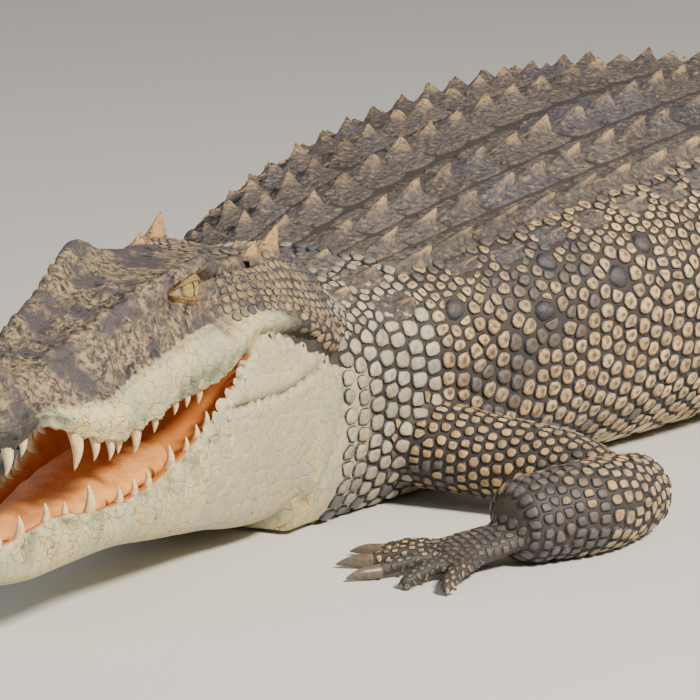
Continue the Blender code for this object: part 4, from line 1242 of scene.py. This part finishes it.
blades = []
joints = (1.62, 2.20, 2.80, 3.40, 3.92)
for start, end in zip(joints, joints[1:]):
    count = round((end - start) / BLADE_PITCH)
    for place in (start + (end - start) * i / count for i in range(1, count, 2)):
        if place < 3.86:
            single = place > BODY + 0.56 * TAIL
            blades += [(place, side) for side in ((0,) if single else (1, -1))]
tail_blades = leaves_piece("tail_blades", [tail_blade(*blade) for blade in blades], blade_colours,
                           rng.random(len(blades)))
print("tail blades:", len(blades))

# %% [markdown]
# ## Spikes behind the eyes
# An old saltwater crocodile carries tall worn scales at the rear corners of its skull table. There
# are two on each side. Each is a leaf like a tail blade: long root, sharp upper edge, and a tip that
# leans back.

# %% Spikes on the skull table's corners
# forward, left and up in parts of the head, then length, height, half thickness and lean
SPIKES = ((0.050, 0.098, 0.178, 0.044, 0.034, 0.0160, 0.75),
          (0.110, 0.099, 0.180, 0.036, 0.019, 0.0130, 0.40),
          (0.060, -0.098, 0.178, 0.040, 0.034, 0.0160, 0.55),
          (0.114, -0.099, 0.180, 0.032, 0.017, 0.0120, 0.40))


def spike(f, left, up, length, height, thick, lean):
    u, v = np.meshgrid(BLADE_TICKS, BLADE_TICKS, indexing="ij")
    keel = np.interp(u, (-1.0, -0.5, 0.0, 0.4, 0.8, 1.0), (0.0, 0.42, 0.86, 1.0, 0.88, 0.0))
    notch = 1.0 - 0.10 * np.cos(u * 19.0)
    edge = np.abs(v)
    lift = height * keel * notch * (1.0 - edge**1.3)
    across = v * thick * (1.0 - 0.55 * lift / height)
    local = np.stack((f * HEAD - 0.5 * length * u - lean * lift,
                      left * HEAD + across + 0.12 * lift * np.sign(left),
                      up * HEAD + lift - SINK * (edge > EDGE)), axis=-1).reshape(-1, 3)
    points = local @ np.array(SKULL.to_3x3()).T + np.array(SKULL.translation)
    return leaf(points, lift / height, edge, (0.02 + 0.2 * f, 0.5 + left), u, v)


def spike_colours(tip, _roots, _tone):
    """Brown roots under orange-tan horn."""
    return mixed((0.13, 0.095, 0.06), (0.50, 0.29, 0.105), smooth_step(tip, 0.05, 0.45))


spikes = leaves_piece("skull_spikes", [spike(*sizes) for sizes in SPIKES], spike_colours, [0.0] * len(SPIKES))
coat_pieces += [back_plates, tail_blades, spikes]
print("spikes:", len(SPIKES))

# %% [markdown]
# ## Teeth
# A crocodile's teeth are slender cones that lean a little outwards at the root and curve back in
# towards the tip. Each is a short tube whose radius falls to a point, set along the lip line at the
# same places as the scallops. The roots sink into the gum.

# %% Curved cones for both jaws
def tooth(root, tip, outward, radius, sides=14, rings=9):
    """Closed curved cone from a root inside the gum to its point."""
    t = np.linspace(0.0, 1.0, rings)
    length = np.linalg.norm(tip - root)
    axis = (tip - root) / length
    bow = outward - axis * np.dot(outward, axis)
    centres = root + np.outer(t, tip - root) + np.outer(np.sin(math.pi * t) * 0.10 * length, bow)
    size = radius * (1.0 - t**1.7) ** 0.85 + 0.0002
    side = np.cross(axis, bow)
    angles = full_turn(sides)
    rings_at = centres[:, None] + size[:, None, None] * (
        0.88 * bow / np.linalg.norm(bow) * np.cos(angles)[None, :, None]
        + unit(side) * np.sin(angles)[None, :, None])
    return loft_mesh(rings_at)


TOOTH_INSET, TOOTH_ROOT = 0.024, 0.016


def tooth_row(name, table, place, half, rim, rise, matrix):
    """Both sides' teeth of one jaw. They rise by 1 from the lower jaw and by -1 from the upper one."""
    shapes = []
    outward = np.array(matrix.to_3x3().col[1])
    for index, (f, length) in enumerate(table):
        for side in (1, -1):
            size = length * (1.0 + 0.12 * math.sin(5.1 * index + side))
            x, z = side * (float(along(half, f)) - TOOTH_INSET), float(along(rim, f))
            root = np.array(place(f, x, z - rise * TOOTH_ROOT))
            tip = np.array(place(f, x + side * 0.004, z + rise * size / HEAD))
            shapes.append(tooth(root, tip, outward * side, 0.0036 + 0.150 * size))
    return new_piece(name, *joined(shapes))


upper_teeth = tooth_row("upper_teeth", UPPER_TEETH, skull_place, LIP_HALF, LIP_LOW, -1.0, SKULL)
lower_teeth = tooth_row("lower_teeth", LOWER_TEETH, jaw_place, JAW_HALF, JAW_TOP, 1.0, JAW)
print("teeth:", 2 * (len(UPPER_TEETH) + len(LOWER_TEETH)))

# %% [markdown]
# ## Eyes
# The ball is a lathe about the line of sight, so that rings of points fall on the iris and its
# edge. Two attributes tell the finish how far a point is from the pupil and on which side of it.

# %% Eyeballs
UNDER_LIDS = 0.0006


def eyeball(name, eye, sides=40, rings=26):
    angles = np.linspace(0.02, math.pi - 0.02, rings)
    spins = full_turn(sides)
    points = []
    for a in angles:
        size = (eye["radius"] - UNDER_LIDS) * (1.0 + 0.035 * math.exp(-(a / 0.42) ** 2))
        for s in spins:
            flat = math.sin(a) * (math.cos(s) * eye["fore"] + math.sin(s) * eye["up"])
            points.append(eye["centre"] + size * (math.cos(a) * eye["out"] + flat))
    piece = new_piece(f"eyeball_{name}", *loft_mesh(np.array(points).reshape(rings, sides, 3)[::-1]))
    rel = (vectors_of(piece.data.vertices, "co") - eye["centre"]) / eye["radius"]
    facing = rel @ eye["out"] / np.linalg.norm(rel, axis=1)
    set_values(piece.data, "from_axis", np.arccos(np.clip(facing, -1, 1)))
    set_values(piece.data, "across", rel @ eye["fore"])
    return piece


eyeballs = {name: eyeball(name, eye) for name, eye in EYES.items()}
print("eye radius:", round(EYES["left"]["radius"] * 1000, 1), "mm")

# %% [markdown]
# ## Tongue
# The tongue is a broad flat pad bound to the mouth's floor. A flattened ball gets a shallow middle
# furrow and small uneven swellings.

# %% Tongue
TONGUE_REACH, TONGUE_HALF, TONGUE_THICK = 0.186, 0.060, 0.016
tongue_middle = np.array(jaw_place(0.54, 0.0, -0.072))
ahead, left, up = (np.array(JAW.to_3x3().col[i]) for i in range(3))


def tongue_points(rings=44, sides=44):
    rows = []
    for t in np.linspace(-0.998, 0.998, rings):
        taper = (1.0 - abs(t) ** 2.6) ** 0.5 * (1.0 - 0.22 * t)
        for a in full_turn(sides):
            x = TONGUE_HALF * taper * math.copysign(abs(math.cos(a)) ** 0.8, math.cos(a))
            z = TONGUE_THICK * min(1.0, taper) * math.sin(a)
            furrow = 0.004 * math.exp(-(x / 0.012) ** 2) if z > 0 else 0.0
            uneven = 0.0012 * math.sin(90 * x + 3 * t) * math.sin(23 * t + 40 * x)
            rise = z + uneven - furrow + 0.002
            rows.append(tongue_middle + ahead * TONGUE_REACH * t + left * x + up * rise)
    return np.array(rows).reshape(rings, sides, 3)


tongue = new_piece("tongue_pad", *loft_mesh(tongue_points()))
print("tongue:", np.round(tongue.dimensions, 3))

# %% [markdown]
# ## Claws
# The three inner toes of each foot end in claws. Each carries on from its toe, arches over and
# comes to a blunt point.

# %% Claws
claw_pieces = {}
for side, word in ((1, "left"), (-1, "right")):
    for size, kind in ((HAND, "hand"), (FOOT, "foot")):
        _, _, claws = foot_paths(size, side)
        for i, path in enumerate(claws):
            name = f"claw_{kind}_{word}_{i + 1}"
            claw_pieces[name] = new_piece(f"{name}_horn", *tube(path, sides=14, flat=1.1))
print("claws:", len(claw_pieces))

# %% [markdown]
# ## Finishes
# Every finish is a tree of nodes. Two small classes keep the trees short to read. A wire is what
# comes out of a node, and sums, products, ramps and mixes of wires make the next nodes. Patterns are
# laid out in the piece's own coordinates in metres, so a scale of 100 means centimetre details.

# %% Helpers for node trees
class Wire:
    """What comes out of a node of a finish."""

    def __init__(self, finish, socket):
        self.finish, self.socket = finish, socket

    def math(self, kind, other=0.5):
        return self.finish.node("ShaderNodeMath", 0, {0: self, 1: other}, operation=kind)

    def __add__(self, other):
        return self.math("ADD", other)

    def __sub__(self, other):
        return self.math("SUBTRACT", other)

    def __mul__(self, other):
        return self.math("MULTIPLY", other)

    def ramp(self, low, high):
        """0 before low, 1 past high, straight between."""
        return self.finish.node("ShaderNodeMapRange", 0, {0: self, 1: low, 2: high}, clamp=True)

    def between(self, first, second):
        """A mix of two colours, with this wire as the second one's share."""
        return self.finish.node("ShaderNodeMix", 2, {0: self, 6: first, 7: second}, data_type="RGBA")


class Finish:
    """A material with a shader and, as far as asked for, nodes before it."""

    def __init__(self, name, roughness=0.5, **sockets):
        self.material = bpy.data.materials.new(name)
        self.material.use_nodes = True
        self.tree = self.material.node_tree
        self.shader = self.tree.nodes["Principled BSDF"]
        for key, value in {"Roughness": roughness, **sockets}.items():
            self.shader.inputs[key.replace("_", " ")].default_value = value
        self.where = self.node("ShaderNodeTexCoord", "Object", {})

    def connect(self, socket, link):
        """Lead a wire into a socket, or set its number, vector or (red, green, blue)."""
        if isinstance(link, Wire):
            self.tree.links.new(link.socket, socket)
        else:
            socket.default_value = (*link, 1.0) if socket.type == "RGBA" else link

    def node(self, kind, output, inputs, **values):
        made = self.tree.nodes.new(kind)
        for key, value in values.items():
            setattr(made, key, value)
        for place, link in inputs.items():
            self.connect(made.inputs[place], link)
        return Wire(self, made.outputs[output])

    def attribute(self, name, output="Fac"):
        return self.node("ShaderNodeAttribute", output, {}, attribute_name=name)

    def noise(self, scale, detail=3.0, rough=0.6, output="Fac"):
        return self.node("ShaderNodeTexNoise", output, {"Vector": self.where, "Scale": scale,
                                                        "Detail": detail, "Roughness": rough})

    def cells(self, scale, feature="F1", where=None):
        return self.node("ShaderNodeTexVoronoi", "Distance", {"Vector": where or self.where, "Scale": scale},
                         feature=feature)

    def paint(self, colour, roughness=None):
        self.connect(self.shader.inputs["Base Color"], colour)
        if roughness is not None:
            self.connect(self.shader.inputs["Roughness"], roughness)

    def bump(self, height, strength, distance):
        made = self.node("ShaderNodeBump", "Normal", {"Height": height, "Strength": strength,
                                                      "Distance": distance})
        self.connect(self.shader.inputs["Normal"], made)


# %% [markdown]
# ### Hide of the head and under the scales
# The crown and snout are grey-brown bone with tan wear and black pits. Cheeks, lips and throat are
# cream with grey-green and yellow clouds, crossed by fine dark cracks. Dark green blotches on the lip
# rims are partly painted shade, and folds are painted darker as shade. The mouth is lined with a
# moist orange membrane. Between the body's scales the hide is painted nearly black, as shade in the
# gaps.

# %% Hide finish
leather = Finish("hide_finish", 0.5, Specular_IOR_Level=0.35)
clouds, mottle = leather.noise(9.0), leather.noise(42.0, 4.0, 0.65)
speck, grain = leather.noise(130.0, 4.0, 0.7), leather.noise(420.0, 3.0, 0.7)
lining, pale, crown, rim, folds, lids = (leather.attribute(name) for name in ZONES)
bone = speck.ramp(0.42, 0.62).between((0.055, 0.046, 0.046), (0.36, 0.26, 0.135))
bone = leather.noise(22.0, 3.0, 0.55).ramp(0.46, 0.60).between(bone, (0.075, 0.062, 0.064))
bone = (mottle + speck * 0.5).ramp(0.66, 0.58).between(bone, (0.024, 0.019, 0.022))
cream = clouds.ramp(0.38, 0.62).between((0.60, 0.50, 0.27), (0.38, 0.39, 0.245))
cream = mottle.ramp(0.50, 0.72).between(cream, (0.60, 0.43, 0.17))
WARP = 0.035
swirl = leather.noise(30.0, 2.0, 0.5, "Color")
bent = leather.node("ShaderNodeVectorMath", 0, {0: swirl, 1: (WARP, WARP, WARP), 2: leather.where},
                    operation="MULTIPLY_ADD")
crack = leather.cells(74.0, "DISTANCE_TO_EDGE", bent)
cream = (crack.ramp(0.040, 0.008) * mottle.ramp(0.46, 0.62)).between(cream, (0.17, 0.14, 0.095))
# painted shade: away from the head zones the hide is nearly black, as shade in the gaps between scales
colour = crown.between(mottle.between((0.018, 0.018, 0.022), (0.075, 0.058, 0.042)), bone)
colour = (pale + speck * 0.5).ramp(0.62, 0.95).between(colour, cream)
# partly blotches of the skin, partly painted shade: dark green patches along the downward lip margins
rim_blotch_and_shade = rim * leather.noise(30.0, 2.0, 0.5).ramp(0.46, 0.60)
colour = (rim_blotch_and_shade * 0.8).between(colour, (0.10, 0.125, 0.085))
# painted shade: the folds are darkened, as shade lies in the creases
colour = (folds * 0.75).between(colour, (0.070, 0.055, 0.042))
colour = (lids * 0.85).between(colour, speck.between((0.11, 0.062, 0.028), (0.40, 0.235, 0.075)))
membrane = mottle.between((0.44, 0.115, 0.022), (0.72, 0.29, 0.075))
colour = lining.ramp(0.25, 0.75).between(colour, membrane)
leather.paint(colour, lining.ramp(2.1, -1.5))
relief = (speck + mottle) * crown * 1.3 + crack.ramp(0.0, 0.06) * pale * 0.22
leather.bump(relief + grain * 0.15, 0.8, 0.004)
hide.data.materials.append(leather.material)
print("hide finish:", len(leather.tree.nodes), "nodes")

# %% [markdown]
# ### Ivory, eye, membrane and horn
# Teeth are yellow ivory with brown streaks. The eye is olive and yellow with a slit pupil under a
# clear wet coat. The tongue is pale orange and damp. Claws are dark horn with paler clouds.

# %% Finishes of the small pieces
ivory = Finish("ivory_finish", 0.32, Specular_IOR_Level=0.5)
streak = ivory.noise(160.0)
ivory.paint(streak.ramp(0.45, 0.75).between((0.72, 0.58, 0.32), (0.46, 0.28, 0.11)))
ivory.bump(streak, 0.25, 0.001)

wet = Finish("eye_finish", 0.12, Coat_Weight=1.0, Coat_Roughness=0.04)
ring = wet.attribute("from_axis")
iris = wet.noise(900.0, 2.0, 0.7).between((0.13, 0.105, 0.025), (0.42, 0.33, 0.085))
iris = ring.ramp(0.50, 0.66).between(iris, (0.10, 0.07, 0.02))
iris = ring.ramp(0.70, 0.95).between(iris, (0.50, 0.42, 0.26))
slit = wet.attribute("across").math("ABSOLUTE").ramp(0.060, 0.035) * ring.ramp(0.50, 0.44)
wet.paint(slit.between(iris, (0.006, 0.006, 0.006)))

damp = Finish("tongue_finish", 0.38, Specular_IOR_Level=0.5, Subsurface_Weight=0.08)
damp.paint(damp.noise(36.0).ramp(0.35, 0.7).between((0.76, 0.37, 0.105), (0.58, 0.22, 0.055)))
damp.bump(damp.cells(260.0), 0.35, 0.002)

horn = Finish("claw_finish", 0.38)
grain = horn.noise(220.0, 2.0)
horn.paint(grain.between((0.035, 0.028, 0.024), (0.20, 0.15, 0.10)))
horn.bump(grain, 0.3, 0.001)
for finish, group in ((ivory, (upper_teeth, lower_teeth)), (damp, (tongue,)), (wet, eyeballs.values()),
                      (horn, claw_pieces.values())):
    for piece in group:
        piece.data.materials.append(finish.material)
        piece.data.shade_smooth()
print("finishes:", len(bpy.data.materials))

# %% [markdown]
# ### Horn of the scales
# A scale is painted darkest round its rim, as shade in the grooves where the scales meet, and many
# have a brown pit in the middle. The rim and pit follow each scale's own edge value, broken up by noise.

# %% Finish of the scales
# depth of the middle pit, width of the rim painted dark as shade, share of mottling
PIT_RIM_SHADE_MOTTLING = {"flank_scales": (0.75, 0.20, 0.75), "belly_scales": (0.0, 0.10, 0.35),
        "neck_scales": (0.15, 0.14, 0.45), "leg_scales": (0.10, 0.24, 0.60),
        "tail_scales": (0.10, 0.14, 0.55), "temple_scales": (0.0, 0.16, 0.50),
        "jowl_scales": (0.0, 0.0, 0.22)}


def scale_finish(name, pit, rim, mottling):
    horn = Finish(name, 0.46, Specular_IOR_Level=0.5)
    grain, speck = horn.noise(300.0, 4.0, 0.7), horn.noise(110.0, 4.0, 0.7)
    edge = horn.attribute("edge") + (speck - 0.5) * 0.55
    own = horn.attribute("own_colour", "Color")
    colour = (speck.ramp(0.56, 0.38) * mottling).between(own, (0.085, 0.062, 0.042))
    colour = (edge.ramp(0.34, 0.16) * pit).between(colour, (0.085, 0.045, 0.024))
    # painted shade: the rim darkens towards the scale's sunken foot, where the scales meet
    colour = edge.ramp(0.94 - rim, 1.06 - rim).between(colour, (0.022, 0.022, 0.028))
    horn.paint(colour, grain.ramp(-0.25, 1.35))
    horn.bump(grain + speck + edge.ramp(0.12, 0.36) * pit, 0.6, 0.0020)
    return horn.material


for piece in coat_pieces:
    if piece.name in PIT_RIM_SHADE_MOTTLING:
        piece.data.materials.append(scale_finish(piece.name + "_horn", *PIT_RIM_SHADE_MOTTLING[piece.name]))

# %% [markdown]
# ### Bone of the plates, blades and spikes
# Back plates are rougher than scales: pitted like old bone and dusty tan in patches. Along their rims
# plates, blades and spikes are painted nearly black, as shade where they meet the hide. Blades and
# spikes share the finish, each with its own colours.

# %% Finish of plates, blades and spikes
rough_bone = Finish("plate_bone", 0.50, Specular_IOR_Level=0.45)
speck, grain = rough_bone.noise(120.0, 5.0, 0.7), rough_bone.noise(320.0, 3.0, 0.7)
own = rough_bone.attribute("own_colour", "Color")
colour = (speck.ramp(0.54, 0.68) * 0.8).between(own, (0.36, 0.255, 0.13))
colour = speck.ramp(0.47, 0.34).between(colour, (0.035, 0.032, 0.038))
# painted shade: nearly black along every leaf's rim, where it sinks into the hide
edge = rough_bone.attribute("edge") + speck * 0.3
colour = edge.ramp(1.05, 1.22).between(colour, (0.022, 0.020, 0.022))
rough_bone.paint(colour, grain.ramp(-0.3, 1.3))
rough_bone.bump(speck + rough_bone.cells(130.0) + grain * 0.4, 0.8, 0.0045)
for piece in (back_plates, tail_blades, spikes):
    piece.data.materials.append(rough_bone.material)

# %% [markdown]
# ## Join the pieces to the frame
# Every piece rides on the one rigid body. The hide stands for all the nodes of flesh, and eyeballs,
# tongue and claws stand for their own nodes. Scales, plates, blades, spikes and teeth are additions.

# %% Ride, replace and name the slots
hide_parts(*FLESH)
for name, ball in eyeballs.items():
    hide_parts(f"eye_{name}")
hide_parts("tongue")
for name, claw in claw_pieces.items():
    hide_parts(name)
SLOTS = {hide: "hide", upper_teeth: "tooth", lower_teeth: "tooth", tongue: "mouth"}
SLOTS.update({ball: "eye" for ball in eyeballs.values()})
SLOTS.update({claw: "claw" for claw in claw_pieces.values()})
SLOTS.update({coat: "hide" for coat in coat_pieces})
for piece, slot in SLOTS.items():
    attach(piece, "root")
print("pieces:", len(SLOTS))

# %% [markdown]
# ## Floor, light and camera
# A plain pale floor and soft lights keep the eye on the animal. The key light is a round panel high
# on the camera's right, which rakes over the scales, and a weak fill keeps the shadows readable.

# %% Floor
FLOOR_HALF = 14
floor_mesh = bpy.data.meshes.new("floor")
floor_mesh.from_pydata([(x * FLOOR_HALF, y * FLOOR_HALF, 0) for x, y in ((-1, -1), (1, -1), (1, 1), (-1, 1))],
                       [], [(0, 1, 2, 3)])
floor = placed("floor", floor_mesh)
floor_mesh.materials.append(Finish("floor_finish", 0.8, Base_Color=(0.62, 0.60, 0.56, 1.0)).material)

# %% Lights
AIM = JAW_JOINT + Vector((0.1707, 0.021, 0.014))


def aimed(name, data, azimuth, elevation, distance):
    """A light or camera at a distance from the aim and turned towards it."""
    thing = placed(name, data)
    a, e = math.radians(azimuth), math.radians(elevation)
    away = Vector((math.sin(a) * math.cos(e), -math.cos(a) * math.cos(e), math.sin(e)))
    thing.location = AIM + away * distance
    thing.rotation_euler = away.to_track_quat("Z", "Y").to_euler()
    return thing


def panel(name, azimuth, elevation, distance, size, power, colour):
    data = bpy.data.lights.new(name, "AREA")
    data.shape, data.size, data.energy, data.color = "DISK", size, power, colour
    aimed(name, data, azimuth, elevation, distance)


panel("key", 74.0, 42.0, 6.5, 1.3, 1000.0, (1.0, 0.93, 0.82))
panel("fill", -20.0, 30.0, 6.0, 4.0, 70.0, (0.82, 0.90, 1.0))
world = bpy.data.worlds.new("studio")
bpy.context.scene.world = world
world.use_nodes = True
world.node_tree.nodes["Background"].inputs[0].default_value = (0.80, 0.84, 0.90, 1.0)
world.node_tree.nodes["Background"].inputs[1].default_value = 0.33

# %% [markdown]
# The camera stands low in front of the animal's left side, with a long lens, so that the open jaws
# fill the near corner and the back climbs behind them.

# %% Camera
AZIMUTH, ELEVATION, DISTANCE, LENS = 30.1, 12.0, 5.5, 242.4
camera_data = bpy.data.cameras.new("camera")
camera_data.lens, camera_data.sensor_width = LENS, 36.0
camera_data.clip_end = 100.0
camera = aimed("camera", camera_data, AZIMUTH, ELEVATION, DISTANCE)
bpy.context.scene.camera = camera
print("camera height:", round(camera.location.z, 2), "m")
